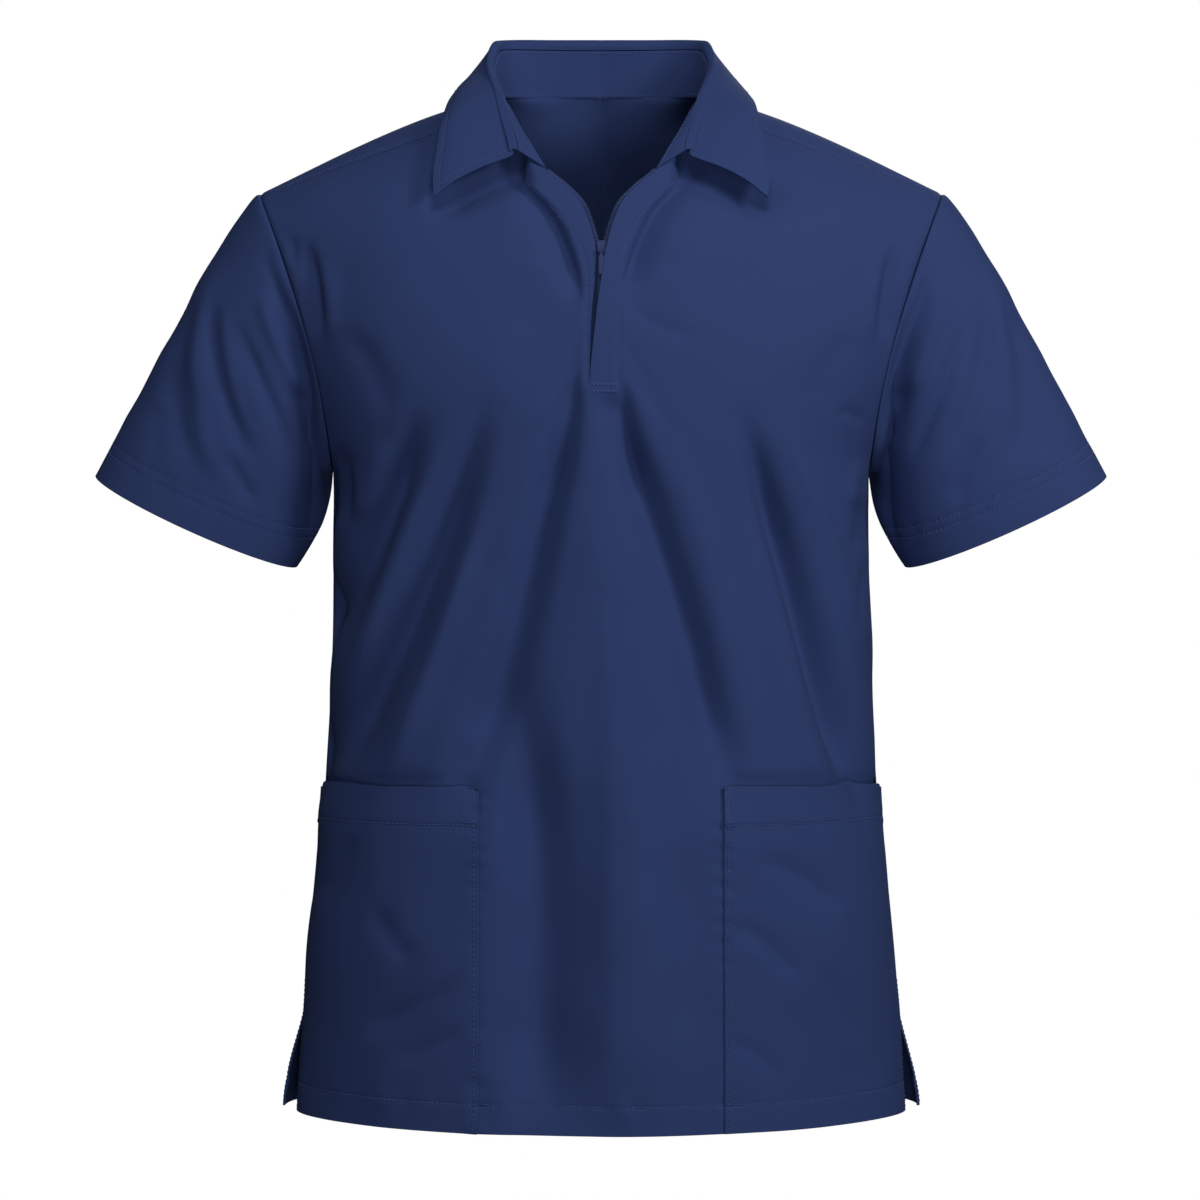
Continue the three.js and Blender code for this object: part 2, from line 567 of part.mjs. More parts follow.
// One station's section, from the neck seam up, over the roll and out to the fall's edge
function collarSection(station) {
  const side = Math.sign(station) || 1;
  const row = collarStation(Math.abs(station));
  const neck = vec(side * row.neckX, row.neckY, row.neckZ);
  const roll = vec(side * row.rollX, row.rollY, row.rollZ);
  const edge = vec(side * row.edgeX, row.edgeY, row.edgeZ);
  const normal = neckNormal(Math.abs(station));
  normal.x *= side;
  const slope = normal.dot(roll.clone().sub(neck).normalize());
  const clear = CLOTH / 2 + SEAM_GAP + collarHalf * Math.sqrt(1 - slope ** 2);
  neck.addScaledVector(normal, clear);
  const rise = roll.clone().sub(neck);
  const length = rise.length();
  rise.normalize();
  const out = edge.clone().sub(roll);
  const fallLength = out.length();
  const away = out.addScaledVector(rise, -out.dot(rise)).normalize();
  const onStand = (distance) => neck.clone().addScaledVector(rise, distance);
  const seam = Math.min(length * STAND_SHARE, length - 1.7 * ROLL_RADIUS);
  const inside = onStand(length - ROLL_RADIUS);
  const top = onStand(length + 0.4).addScaledVector(away, ROLL_RADIUS);
  const outside = inside.clone().addScaledVector(away, 2.2 * ROLL_RADIUS);
  const bulge = vec(0, 0, 0.07 * fallLength).addScaledVector(away, 0.04 * fallLength);
  const part = (share, swell) => outside.clone().lerp(edge, share).addScaledVector(bulge, swell);
  return [
    neck,
    onStand(seam / 2),
    onStand(seam - STAND_GAP / 2),
    onStand(seam + STAND_GAP / 2),
    inside,
    top,
    outside,
    part(0.35, 0.8),
    part(0.7, 0.9),
    part(1, 0),
  ];
}
const collarSections = stations.map(collarSection);
const collarRows = collarSections[0].map((_, level) => collarSections.map((s) => s[level]));
const STAND_LEVELS = 3;
const collarGrid = { facing: -1, outward: collarHalf, inward: collarHalf };
const standPoints = STAND_LEVELS * stations.length;
const collarNormals = gridNormals(collarRows, collarGrid);
stations.forEach((_, i) => {
  collarNormals[standPoints + i] = collarNormals[standPoints - stations.length + i];
});
add(
  "collar_stand",
  gridWall(collarRows.slice(0, STAND_LEVELS), {
    ...collarGrid,
    normals: collarNormals.slice(0, standPoints),
  }),
);
add(
  "collar_fall",
  gridWall(collarRows.slice(STAND_LEVELS), {
    ...collarGrid,
    normals: collarNormals.slice(standPoints),
  }),
);

// The zip's tapes: narrow strips behind the slit's edges, each wider than its cloth edge by what
// carries the teeth
const TAPE = 0.8;
const TAPE_WIDTH = 9;
const TAPE_GAP = 0.5;
const TAPE_SHOW = 1.6; // of the tape past the open neck's edge
const TAPE_DEPTH = CLOTH / 2 + SEAM_GAP + TAPE / 2 + 0.05; // behind the front's middle
const flatFront = (height, side, t) => frontBase(height, side, t, 0);
function zipTape(side) {
  const rows = [];
  for (const height of FRONT_HEIGHTS) {
    if (height < 1 + SLIT_BOTTOM - 1e-9 || height > 1 + NECK_CORNER + 1e-9) continue;
    const column = frontColumn(height, 1);
    const edge = flatFront(height, side, 0);
    const across = flatFront(height, side, column).sub(edge).normalize();
    const normal = surfaceNormal(flatFront, height, side, column / 2);
    const closed = height < 1 + SLIDER_ROW + 1e-9;
    const start = closed ? TAPE_GAP / 2 - (edge.x - ZIP_CENTRE_X) * side : -TAPE_SHOW;
    const row = [0, 0.5, 1].map((share) =>
      edge
        .clone()
        .addScaledVector(across, start + TAPE_WIDTH * share)
        .addScaledVector(normal, -TAPE_DEPTH),
    );
    rows.push(side > 0 ? row : row.reverse());
  }
  return gridWall(rows, { outward: TAPE / 2, inward: TAPE / 2 });
}
add("zip_tape_left", zipTape(1), trim);
add("zip_tape_right", zipTape(-1), trim);

// The slider: a plate in front of the tapes and one behind, joined by a post where the tapes
// part, with two ears that hold the pull tab's pin. Drawn with Z up along the tapes, -Y out and
// its origin on the tapes' middle.
const PLATE = 1;
const SLIDER_TOP = 8.5;
const SLIDER_BOTTOM = -5;
const POST_TOP = 8;
const POST_BOTTOM = 5;
const HINGE_UP = -0.5;
const HINGE_OUT = TAPE / 2 + 0.55 + PLATE + 1.8;
const PIN_RADIUS = 0.55;
const BORE_RADIUS = 0.63;
const BARREL_RADIUS = 1.45;
const BARREL_WIDTH = 2.2;
const EAR = 0.7;
const TAB_WIDTH = 3.4;
const TAB_LENGTH = 17;
const TAB_THICKNESS = 1.2;
const wasm = await Module();
wasm.setup();
const { Manifold, CrossSection } = wasm;

// A flat plate with rounded corners, from circles [x, z, radius], standing in the XZ plane
// between two depths
function plate(circles, from, to) {
  const discs = circles.map(([x, z, r]) => CrossSection.circle(r, 16).translate([x, z]));
  const solid = Manifold.extrude(CrossSection.hull(discs), to - from);
  return solid.rotate([90, 0, 0]).translate([0, to, 0]);
}
// A round bar along X
function barX(radius, from, to, y, z) {
  return Manifold.cylinder(to - from, radius, radius, 16)
    .rotate([0, 90, 0])
    .translate([from, y, z]);
}
function toGeometry(solid) {
  const mesh = solid.getMesh();
  const geometry = new THREE.BufferGeometry();
  const points = new Float32Array(mesh.numVert * 3);
  for (let i = 0; i < mesh.numVert; i++) points.set(mesh.position(i), 3 * i);
  geometry.setAttribute("position", new THREE.BufferAttribute(points, 3));
  geometry.setIndex(Array.from(mesh.triVerts));
  geometry.computeVertexNormals();
  return geometry;
}

const plateFace = TAPE / 2 + 0.55;
const earInner = BARREL_WIDTH / 2 + SEAM_GAP;
const earShape = [
  [0, 0, BARREL_RADIUS + 0.1],
  [HINGE_OUT - plateFace - PLATE / 2, 1.6, 0.4],
  [HINGE_OUT - plateFace - PLATE / 2, -1.6, 0.4],
];
const ears = [-1, 1].map((side) => {
  const from = side > 0 ? earInner : -earInner - EAR;
  const discs = earShape.map(([inwards, up, r]) =>
    barX(r, from, from + EAR, -HINGE_OUT + inwards, HINGE_UP + up),
  );
  return Manifold.hull(discs);
});
const slider = Manifold.union([
  plate([[0, SLIDER_BOTTOM + 2.2, 2.2], [-1.9, SLIDER_TOP - 1.4, 1.4], [1.9, SLIDER_TOP - 1.4, 1.4]],
    -plateFace - PLATE, -plateFace),
  plate([[0, SLIDER_BOTTOM + 2.4, 2.4], [-2.2, SLIDER_TOP - 1.4, 1.4], [2.2, SLIDER_TOP - 1.4, 1.4]],
    plateFace, plateFace + PLATE),
  Manifold.cube([1.2, 2 * plateFace + PLATE, POST_TOP - POST_BOTTOM]).translate([
    -0.6,
    -plateFace - PLATE / 2,
    POST_BOTTOM,
  ]),
  ...ears,
  barX(PIN_RADIUS, -earInner - EAR / 2, earInner + EAR / 2, -HINGE_OUT, HINGE_UP),
]);

// The pull tab: a barrel round the pin, and a flat tab that hangs down the fly
const tabTop = HINGE_UP - BARREL_RADIUS - 1.2;
const pull = Manifold.union([
  barX(BARREL_RADIUS, -BARREL_WIDTH / 2, BARREL_WIDTH / 2, -HINGE_OUT, HINGE_UP),
  Manifold.cube([BARREL_WIDTH, TAB_THICKNESS, BARREL_RADIUS + 2.4]).translate([
    -BARREL_WIDTH / 2,
    -HINGE_OUT - TAB_THICKNESS / 2,
    HINGE_UP - BARREL_RADIUS - 2.4,
  ]),
  plate(
    [
      [-TAB_WIDTH / 2 + 0.8, tabTop - 0.8, 0.8],
      [TAB_WIDTH / 2 - 0.8, tabTop - 0.8, 0.8],
      [-TAB_WIDTH / 2 + 1.2, HINGE_UP - TAB_LENGTH + 1.2, 1.2],
      [TAB_WIDTH / 2 - 1.2, HINGE_UP - TAB_LENGTH + 1.2, 1.2],
    ],
    -HINGE_OUT - TAB_THICKNESS / 2,
    -HINGE_OUT + TAB_THICKNESS / 2,
  ),
]).subtract(barX(BORE_RADIUS, -BARREL_WIDTH, BARREL_WIDTH, -HINGE_OUT, HINGE_UP));

// Both lean with the tapes, on which they sit
const below = flatFront(1.66, 1, 0);
const middle = flatFront(1 + SLIDER_ROW, 1, 0);
const above = flatFront(1.77, 1, 0);
const lean = Math.atan2(above.y - below.y, above.z - below.z);
const seat = vec(ZIP_CENTRE_X, middle.y + TAPE_DEPTH, middle.z);
for (const [name, solid] of [["zip_slider", slider], ["zip_pull", pull]]) {
  const mesh = add(name, toGeometry(solid), metal);
  mesh.rotation.x = -lean;
  mesh.position.copy(seat);
}

export default group;
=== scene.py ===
# %% [markdown]
# # A scrub top, sewn from surfaces
#
# This lesson dresses a plain solid of a short-sleeved scrub top: every panel is built again as a
# thin, folded shell of cloth on the same form, then stitched, zipped and lit. The tables are in
# millimetres, as a pattern maker would note them, and each mesh is put down in metres.
# +Z is up, the front faces -Y and +X is the wearer's left, which is the viewer's right.

# %% Load the frame
import math

import bpy
import numpy as np
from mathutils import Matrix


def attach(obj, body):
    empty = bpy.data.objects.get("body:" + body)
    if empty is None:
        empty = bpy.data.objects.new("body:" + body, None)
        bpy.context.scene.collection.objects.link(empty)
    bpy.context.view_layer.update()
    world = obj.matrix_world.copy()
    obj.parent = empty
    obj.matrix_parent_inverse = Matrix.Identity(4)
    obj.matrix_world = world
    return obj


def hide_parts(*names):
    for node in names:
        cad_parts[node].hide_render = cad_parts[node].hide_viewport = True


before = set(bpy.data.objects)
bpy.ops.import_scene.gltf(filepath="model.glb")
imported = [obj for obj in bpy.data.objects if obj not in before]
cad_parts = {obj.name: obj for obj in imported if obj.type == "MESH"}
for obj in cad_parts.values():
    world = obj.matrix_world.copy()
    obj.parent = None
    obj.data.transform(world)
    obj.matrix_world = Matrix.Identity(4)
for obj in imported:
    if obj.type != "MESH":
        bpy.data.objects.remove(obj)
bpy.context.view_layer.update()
MM = 0.001
GARMENT = "garment"

# %% [markdown]
# ## Sizes
#
# The same driving sizes as the solids have. A garment's shape is a stack of rings below the
# underarm and of rows above it, so a few named stations in a table hold all of it, and a smooth
# curve through each column fills in the rest.

# %% Driving sizes, mm
CLOTH = 1.2
SEAM_GAP = 0.3
SIDE_GAP = 0.02
CENTRE_GAP = 0.02  # the centre back seam is drawn tight
HEM_Z = -747.5
HEM_DEPTH = 20.5
VENT_TOP_Z = -655.0
UNDERARM_Z = -273.0
ARMHOLE_TOP_Z = -68.0
ARMHOLE_UNDER_X = 199.0
ARMHOLE_TOP_X = 253.0
ARMHOLE_LEAN = 1.65
ARMHOLE_FRONT = 58.0
ARMHOLE_BACK = 56.0
SHOULDER_SEAM_ANGLE = 165.0
POCKET_TOP_Z = -503.0
POCKET_BAND = 27.0
POCKET_EDGE_X = 87.0
POCKET_LIFT = 3.4
MOUTH_SEEN_Z = -508.0  # the pocket mouth as the camera sees it
ZIP_X = 0.2
FLAP_REACH = 16.0
CUFF_HALF_LENGTH = 81.7
CUFF_HALF_DEPTH = 46.0
CUFF_CENTRE = (300.8, -3.0, -311.0)
CUFF_TILT = 24.6
CUFF_DROOP = 8.0
CUFF_HEM = 28.0
CUFF_TWIN = 21.0  # the second row of stitches, from the cuff's edge
SLEEVE_CAP = 5.0
SLEEVE_OFFSET = 0.7
STAND_SHARE = 0.83
STAND_GAP = 0.6
ROLL_RADIUS = 3.0
COLLAR_CLOTH = 1.6
HEM_RISE = 3.5
SHOULDER_STATION = 0.64
SLIT_BOTTOM = 0.38
SLIDER_ROW = 0.72
NECK_CORNER = 0.88
BACK_NECK = 0.72
SHELL = 0.9  # the cloth that shows: single cloth with a soft edge
HALF_WIDTH = 280.0  # of the flat cloth, from the centre to the side seam
POCKET_WIDTH = 211.0
LOWER_LENGTH = UNDERARM_Z - HEM_Z


# %% Smooth tables
def smooth(x, low, high):
    """A soft step: 0 below low, 1 above high, and 3s^2 - 2s^3 between."""
    s = np.clip((np.asarray(x, float) - low) / (high - low), 0, 1)
    return s * s * (3 - 2 * s)


def table(names, rows):
    """Columns as functions of the first one: a cubic between each two rows whose slope at a row
    is the harmonic mean of the slopes on its two sides, so it never overshoots."""
    data = np.array(rows, float)
    key = data[:, 0]
    step = np.diff(data, axis=0)[:, 1:] / np.diff(key)[:, None]
    before = np.vstack([step[:1], step])
    after = np.vstack([step, step[-1:]])
    product = before * after
    total = np.where(before + after == 0, 1, before + after)
    slope = np.where(product > 0, 2 * product / total, 0)

    def at(k):
        k = np.clip(np.asarray(k, float), key[0], key[-1])
        i = np.clip(np.searchsorted(key, k, side="left") - 1, 0, len(key) - 2)
        span = key[i + 1] - key[i]
        t = (k - key[i]) / span
        out = {}
        for c, name in enumerate(names[1:]):
            p, q = data[i, c + 1], data[i + 1, c + 1]
            m, n = slope[i, c] * span, slope[i + 1, c] * span
            out[name] = (
                p * (2 * t**3 - 3 * t**2 + 1)
                + m * (t**3 - 2 * t**2 + t)
                + q * (3 * t**2 - 2 * t**3)
                + n * (t**3 - t**2)
            )
        return out

    return at


body_ring = table(
    ["z", "half_width", "front", "back"],
    [
        [HEM_Z, 223.5, 135, 124],
        [VENT_TOP_Z, 218.5, 131, 119],
        [POCKET_TOP_Z, 205, 124, 112],
        [-370, 199.5, 121, 107],
        [UNDERARM_Z, ARMHOLE_UNDER_X, 123, 111],
    ],
)
collar_station = table(
    ["s", "nx", "ny", "nz", "rx", "ry", "rz", "ex", "ey", "ez"],
    [
        [0, 0, 72, 16, 0, 64, 57, 0, 88, 10],
        [0.17, 42, 65, 14.5, 48, 60, 57, 58, 86, 9],
        [0.33, 67, 41, 11, 77, 41, 53.5, 97, 58, 8],
        [0.48, 75, 8, 5, 82, 11, 33, 110, 14, 6],
        [SHOULDER_STATION, 68, -32, -8, 75, -22, 7, 115.5, -37, -17],
        [0.78, 59, -54, -27, 70, -50, -18, 119, -64, -45],
        [0.9, 50, -68, -43, 66, -66, -34, 121, -80, -66],
        [1, 41, -78, -58.5, 64, -74, -43, 119.5, -90, -81],
    ],
)
front_row = table(
    ["a", "angle", "left_x", "right_x", "y", "z", "turn", "lift"],
    [
        [0, 0, 0, 0, -123, UNDERARM_Z, 90, 0],
        [0.2, 33, -2, -2, -123, -250, 82, 0],
        [SLIT_BOTTOM, 63, -8, -8, -121, -217, 72, 0],
        [0.55, 91, -6.6, -3.6, -115, -168, 62, 2.8],
        [0.66, 109, -4.2, 0.5, -109.5, -138, 54, 3.4],
        [SLIDER_ROW, 119, -3.6, 2.8, -106.2, -122.5, 50, 2.4],
        [0.8, 132, -13, 13, -96, -88, 42, 0.6],
        [0.84, 138, -25, 25, -88, -73, 38, 0],
        [NECK_CORNER, 145, -41, 41, -78, -58.5, 34, 0],
        [0.94, 155, -57, 57, -57, -30, 27, 0],
        [1, SHOULDER_SEAM_ANGLE, -68, 68, -32, -8, 20, 0],
    ],
)
back_row = table(
    ["a", "angle", "x", "y", "z", "turn", "arch"],
    [
        [0, 0, 0, 111, UNDERARM_Z, 90, 0],
        [0.15, 30, 0, 115, -238, 82, 0],
        [0.3, 62, 0, 118, -190, 72, 0],
        [0.45, 95, 0, 115, -125, 60, 0],
        [0.6, 128, 0, 99, -50, 48, 2],
        [BACK_NECK, 150, 0, 72, 16, 38, 4],
        [0.8, 160, 42, 65, 14.5, 32, 6],
        [0.87, 169, 67, 41, 11, 28, 8.5],
        [0.93, 179, 75, 8, 5, 24, 10],
        [1, 360 - SHOULDER_SEAM_ANGLE, 68, -32, -8, 20, 0],
    ],
)


# %% [markdown]
# ## The body's surface
#
# Each panel is a function of two parameters: how high up it (0 hem, 1 underarm, 2 shoulder seam)
# and how far across it (0 centre, 1 side seam or armhole). A row of cloth is an elliptical arc
# between its two ends. That is quicker to change than a sculpt, and it keeps the seams together,
# because two panels that share a seam work out the same line.

# %% Rows, armhole and the two body surfaces
def stack(x, y, z):
    return np.stack(np.broadcast_arrays(x, y, z), axis=-1)


def unit(v):
    return v / np.maximum(np.linalg.norm(v, axis=-1, keepdims=True), 1e-9)


def armhole(angle, bow):
    """The armhole loop: height falls as the cosine of the angle, depth follows its sine, and the
    half width grows as a power of the climb from the underarm to the shoulder tip."""
    a = np.radians(angle)
    z = (UNDERARM_Z + ARMHOLE_TOP_Z) / 2 - (ARMHOLE_TOP_Z - UNDERARM_Z) / 2 * np.cos(a)
    climb = np.clip((z - UNDERARM_Z) / (ARMHOLE_TOP_Z - UNDERARM_Z), 0, 1)
    x = ARMHOLE_UNDER_X + (ARMHOLE_TOP_X - ARMHOLE_UNDER_X) * climb**ARMHOLE_LEAN
    return stack(x, bow * np.sin(a), z)


def row_point(inner, outer, turn, full, arch, t):
    """An elliptical arc from inner to outer that turns through an angle: across follows the
    sine, depth the cosine, both swollen by full * sin^2, and the middle is raised by arch."""
    a = np.radians(turn)
    across = np.sin(a * t) / np.sin(a)
    deep = (1 - np.cos(a * t)) / (1 - np.cos(a))
    swell = 1 + full * np.sin(np.pi * t) ** 2
    x = (inner[..., 0] + (outer[..., 0] - inner[..., 0]) * across) * swell
    y = (inner[..., 1] + (outer[..., 1] - inner[..., 1]) * deep) * swell
    z = inner[..., 2] + (outer[..., 2] - inner[..., 2]) * across
    return stack(x, y, z + arch * np.sin(np.pi * np.clip(t, 0, 1) ** 0.7))


def fullness(h):
    return 0.065 * smooth(h, 0, 0.35) - 0.02 - 0.045 * smooth(h, 1, 2)


def hem_rise(h, t):
    return HEM_RISE * t**3 * (1 - smooth(h, 0, 0.2))


def neck_seam(s):
    n = collar_station(s)
    return stack(n["nx"], n["ny"], n["nz"])


def front_base(h, side, t, flap=1.0):
    """The front without folds: rings up to the underarm, rows above it."""
    h, side, t = np.broadcast_arrays(np.asarray(h, float), side, np.asarray(t, float))
    z = HEM_Z + (UNDERARM_Z - HEM_Z) * np.minimum(h, 1)
    ring = body_ring(z)
    vent = smooth(VENT_TOP_Z - z, 0, VENT_TOP_Z - HEM_Z)
    low = row_point(
        stack(0 * z, -ring["front"], z),
        stack(side * ring["half_width"], -SIDE_GAP / 2 - 9 * vent, z),
        90, fullness(h), hem_rise(h, t), t,
    )
    row = front_row(h - 1)
    s = SHOULDER_STATION + (1 - SHOULDER_STATION) * (2 - h) / (1 - NECK_CORNER)
    seam = neck_seam(np.minimum(s, 1))
    on_seam = s < 1
    inner = stack(
        np.where(on_seam, side * seam[..., 0], np.where(side < 0, row["left_x"], row["right_x"])),
        np.where(on_seam, seam[..., 1], row["y"]),
        np.where(on_seam, seam[..., 2], row["z"]),
    )
    outer = armhole(row["angle"], -ARMHOLE_FRONT)
    outer[..., 0] *= side
    outer[..., 1] -= SIDE_GAP / 2
    high = row_point(inner, outer, row["turn"], fullness(h), 0, t)
    reach = np.exp(-(((high[..., 0] - inner[..., 0]) / FLAP_REACH) ** 2))
    high[..., 1] -= np.where(side > 0, row["lift"] * reach * flap, 0)
    return np.where((h <= 1)[..., None], low, high)


def back_base(h, side, t):
    """The back without folds, in the same terms."""
    h, side, t = np.broadcast_arrays(np.asarray(h, float), side, np.asarray(t, float))
    z = HEM_Z + (UNDERARM_Z - HEM_Z) * np.minimum(h, 1)
    ring = body_ring(z)
    vent = smooth(VENT_TOP_Z - z, 0, VENT_TOP_Z - HEM_Z)
    low = row_point(
        stack(side * CENTRE_GAP / 2, ring["back"], z),
        stack(side * (ring["half_width"] + 14.5 * vent), SIDE_GAP / 2 + 7 * vent, z),
        90, fullness(h), hem_rise(h, t), t,
    )
    row = back_row(h - 1)
    s = SHOULDER_STATION * (h - 1 - BACK_NECK) / (1 - BACK_NECK)
    seam = neck_seam(np.maximum(s, 0))
    inner = stack(
        side * np.maximum(np.where(s > 0, seam[..., 0], 0), CENTRE_GAP / 2),
        np.where(s > 0, seam[..., 1], row["y"]),
        np.where(s > 0, seam[..., 2], row["z"]),
    )
    over = row["angle"] > 180
    outer = np.where(
        over[..., None],
        armhole(360 - row["angle"], -ARMHOLE_FRONT),
        armhole(row["angle"], ARMHOLE_BACK),
    )
    outer[..., 0] *= side
    outer[..., 1] += np.where(row["angle"] < 90, SIDE_GAP / 2, 0)
    high = row_point(inner, outer, row["turn"], fullness(h), row["arch"], t)
    return np.where((h <= 1)[..., None], low, high)


def normal_of(surface, h, side, t, outwards):
    """The outward normal: the cross product of two small steps along the surface."""
    e = 0.003
    up = surface(np.minimum(h + e, 2), side, t) - surface(np.maximum(h - e, 0), side, t)
    out = surface(h, side, np.minimum(t + e, 1)) - surface(h, side, np.maximum(t - e, 0))
    n = np.cross(out, up) * (np.asarray(side) * outwards)[..., None]
    return n / np.maximum(np.linalg.norm(n, axis=-1, keepdims=True), 1e-9)


# %% [markdown]
# ## Folds
#
# Cloth on a filled-out body hangs in long soft folds from where it is held: the armholes, the
# chest and the end of the zip. Each fold is a row in a table: its two ends as the camera sees
# them, how far its middle bows, the width of its two slopes, how much wider it is at its lower
# end, and its depth. A trough is positive and a ridge negative. A simulation would give folds
# too, but not these folds, so they are placed one by one.

# %% How a fold presses the cloth
CAMERA_BACK = 2400.0  # the camera's distance in front of the side seams
CAMERA_Z = -370.0
FOLD = ["x0", "z0", "x1", "z1", "bow", "left", "right", "spread", "depth"]


def seen(points):
    """Where the camera sees a point, on the plane of the side seams: distances from the
    camera's axis shrink by camera distance / (camera distance + y)."""
    k = CAMERA_BACK / (CAMERA_BACK + points[..., 1])
    return points[..., 0] * k, CAMERA_Z + (points[..., 2] - CAMERA_Z) * k


def fold_depth(rows, x, z):
    """The sum of the folds at seen places. s runs along a fold's chord, q across it; the slope
    to each side is exp(-(q / width)^2), and the ends fade by a soft step."""
    total = np.zeros_like(x)
    for row in rows:
        f = dict(zip(FOLD, row))
        dx, dz = f["x1"] - f["x0"], f["z1"] - f["z0"]
        length = math.hypot(dx, dz)
        s = ((x - f["x0"]) * dx + (z - f["z0"]) * dz) / length**2
        q = (-(x - f["x0"]) * dz + (z - f["z0"]) * dx) / length
        q = q - f["bow"] * 4 * s * (1 - s)
        grow = 1 + (f["spread"] - 1) * np.clip(s, 0, 1.1)
        width = np.where(q < 0, f["left"], f["right"]) * grow
        ends = smooth(s, -0.1, 0.28) * (1 - smooth(s, 0.74, 1.1))
        total += f["depth"] * ends * np.exp(-((q / width) ** 2))
    return total


def unevenness(x, z, size, seed, waves=9):
    """Soft unevenness between -1 and 1: a sum of cosines with seeded directions and phases."""
    r = np.random.default_rng(seed)
    total = 0.0 * (x + z)
    for _ in range(waves):
        a = r.uniform(0, 2 * math.pi)
        k = 2 * math.pi / (size * r.uniform(0.7, 1.6))
        total += np.cos(k * (x * math.cos(a) + z * math.sin(a)) + r.uniform(0, 6.3))
    return total / waves**0.5 / 1.6


# %% The folds of the front, back and sleeves
FRONT_FOLDS = [
    # the wearer's right half: two long troughs that run out from the chest, each with a ridge
    [-139, -240, -212, -404, 5, 8, 11, 1.5, 14.5],
    [-123, -262, -207, -512, -5, 7, 6, 1.4, -4.5],
    [-90, -234, -214, -510, 9, 9, 13, 1.6, 18.0],
    [-88, -306, -164, -512, 3, 8, 7, 1.4, -5.5],
    [-164, -250, -186, -312, 3, 8, 8, 1.2, -3.5],
    [-193, -258, -190, -312, 0, 7, 6, 1.2, 6.0],
    # the long trough from the zip's end to the waist, with a full ridge on its right
    [-22, -205, -102, -520, 6, 8, 9, 2.2, 14.5],
    [-19, -206, -34, -292, 2, 5, 7, 1.6, 4.0],
    [-2, -290, -40, -520, 6, 16, 24, 1.5, -4.0],
    # the wearer's left half
    [4, -206, 98, -516, 4, 12, 9, 1.7, 15.0],
    [16, -206, 32, -292, -2, 6, 5, 1.6, 4.0],
    [54, -262, 96, -430, 6, 10, 10, 1.3, -3.0],
    [117, -368, 168, -512, -2, 7, 5, 1.4, -2.0],
    [109, -242, 197, -532, 2, 10, 10, 1.25, 21.0],
    [140, -250, 198, -416, 3, 7, 6, 1.4, -4.0],
    [192, -266, 186, -300, 0, 5, 5, 1.0, -2.0],
    [195, -296, 192, -332, 0, 6, 6, 1.0, 3.0],
    [176, -231, 195, -238, 3, 4, 5, 1.0, 1.6],
    [196, -343, 187, -394, 0, 3, 3, 1.0, 1.2],
    # the skirt's middle
    [-58, -440, -48, -775, 4, 16, 22, 1.5, 17.0],
    [4, -300, 12, -775, 2, 14, 40, 1.3, -4.0],
    [26, -480, 26, -760, 2, 26, 30, 1.2, -6.0],
    [70, -560, 66, -710, -4, 16, 13, 1.2, 4.0],
    [-68, -590, -66, -720, 3, 14, 12, 1.2, 2.4],
    # beside the armholes, where the sleeve's weight pulls
    [-219, -104, -210, -172, 2, 8, 4, 1.2, 5.0],
    [-206, -120, -201, -176, 1, 5, 7, 1.0, -2.0],
    [-231, -98, -228, -122, 0, 4, 4, 1.0, 1.6],
    [218, -106, 210, -174, -2, 4, 8, 1.2, 4.5],
    [205, -122, 200, -178, -1, 6, 5, 1.0, -2.0],
    [-190, -170, -160, -232, 6, 9, 8, 1.3, 2.2],
    [188, -172, 160, -226, -6, 8, 9, 1.3, 2.0],
    # wells beside the open neck, outside the fly's stitches
    [-66, -40, -15, -145, 8, 15, 4, 0.8, 9.0],
    [66, -40, 17, -140, -7, 4, 15, 0.8, 8.0],
    # under the front edges of the collar
    [-40, -34, -130, -78, 0, 16, 13, 1.0, 12.0],
    [40, -34, 130, -78, 0, 13, 16, 1.0, 12.0],
    # fine ones that fan out from the zip
    [-15, -126, -64, -108, -3, 3, 4, 1.8, 1.2],
    [-15, -144, -70, -166, 3, 3, 4, 1.8, 1.3],
    [15, -130, 66, -116, 3, 4, 3, 1.8, 1.1],
    [15, -146, 74, -176, -3, 4, 3, 1.8, 1.4],
    [-12, -168, -50, -226, 3, 3, 3, 1.8, 1.1],
    [-13, -190, -62, -262, 4, 3, 3, 1.8, 0.9],
    [14, -168, 50, -226, -3, 3, 3, 1.8, 1.1],
    [13, -186, 64, -250, -3, 3, 3, 1.8, 0.9],
    # small creases across, above the pockets
    [-101, -480, -112, -506, 0, 6, 5, 1.0, 2.0],
    [-60, -430, -96, -470, -4, 8, 6, 1.2, 1.4],
    [60, -420, 84, -474, 3, 6, 8, 1.2, 1.4],
    # on the pockets and what lies behind them
    [-181, -545, -208, -594, 2, 7, 7, 1.3, 2.4],
    [-168, -600, -140, -640, -2, 8, 7, 1.2, 2.2],
    [-103, -650, -174, -690, 4, 6, 7, 1.4, 2.4],
    [-100, -689, -154, -712, 2, 5, 6, 1.2, 1.6],
    [-96, -560, -150, -620, 6, 8, 8, 1.3, 1.8],
    [117, -563, 177, -600, 5, 6, 7, 1.3, 2.2],
    [97, -610, 148, -654, 5, 7, 6, 1.3, 2.4],
    [97, -698, 134, -728, 3, 5, 5, 1.2, 1.6],
    [160, -640, 190, -700, 2, 7, 7, 1.3, 1.8],
]
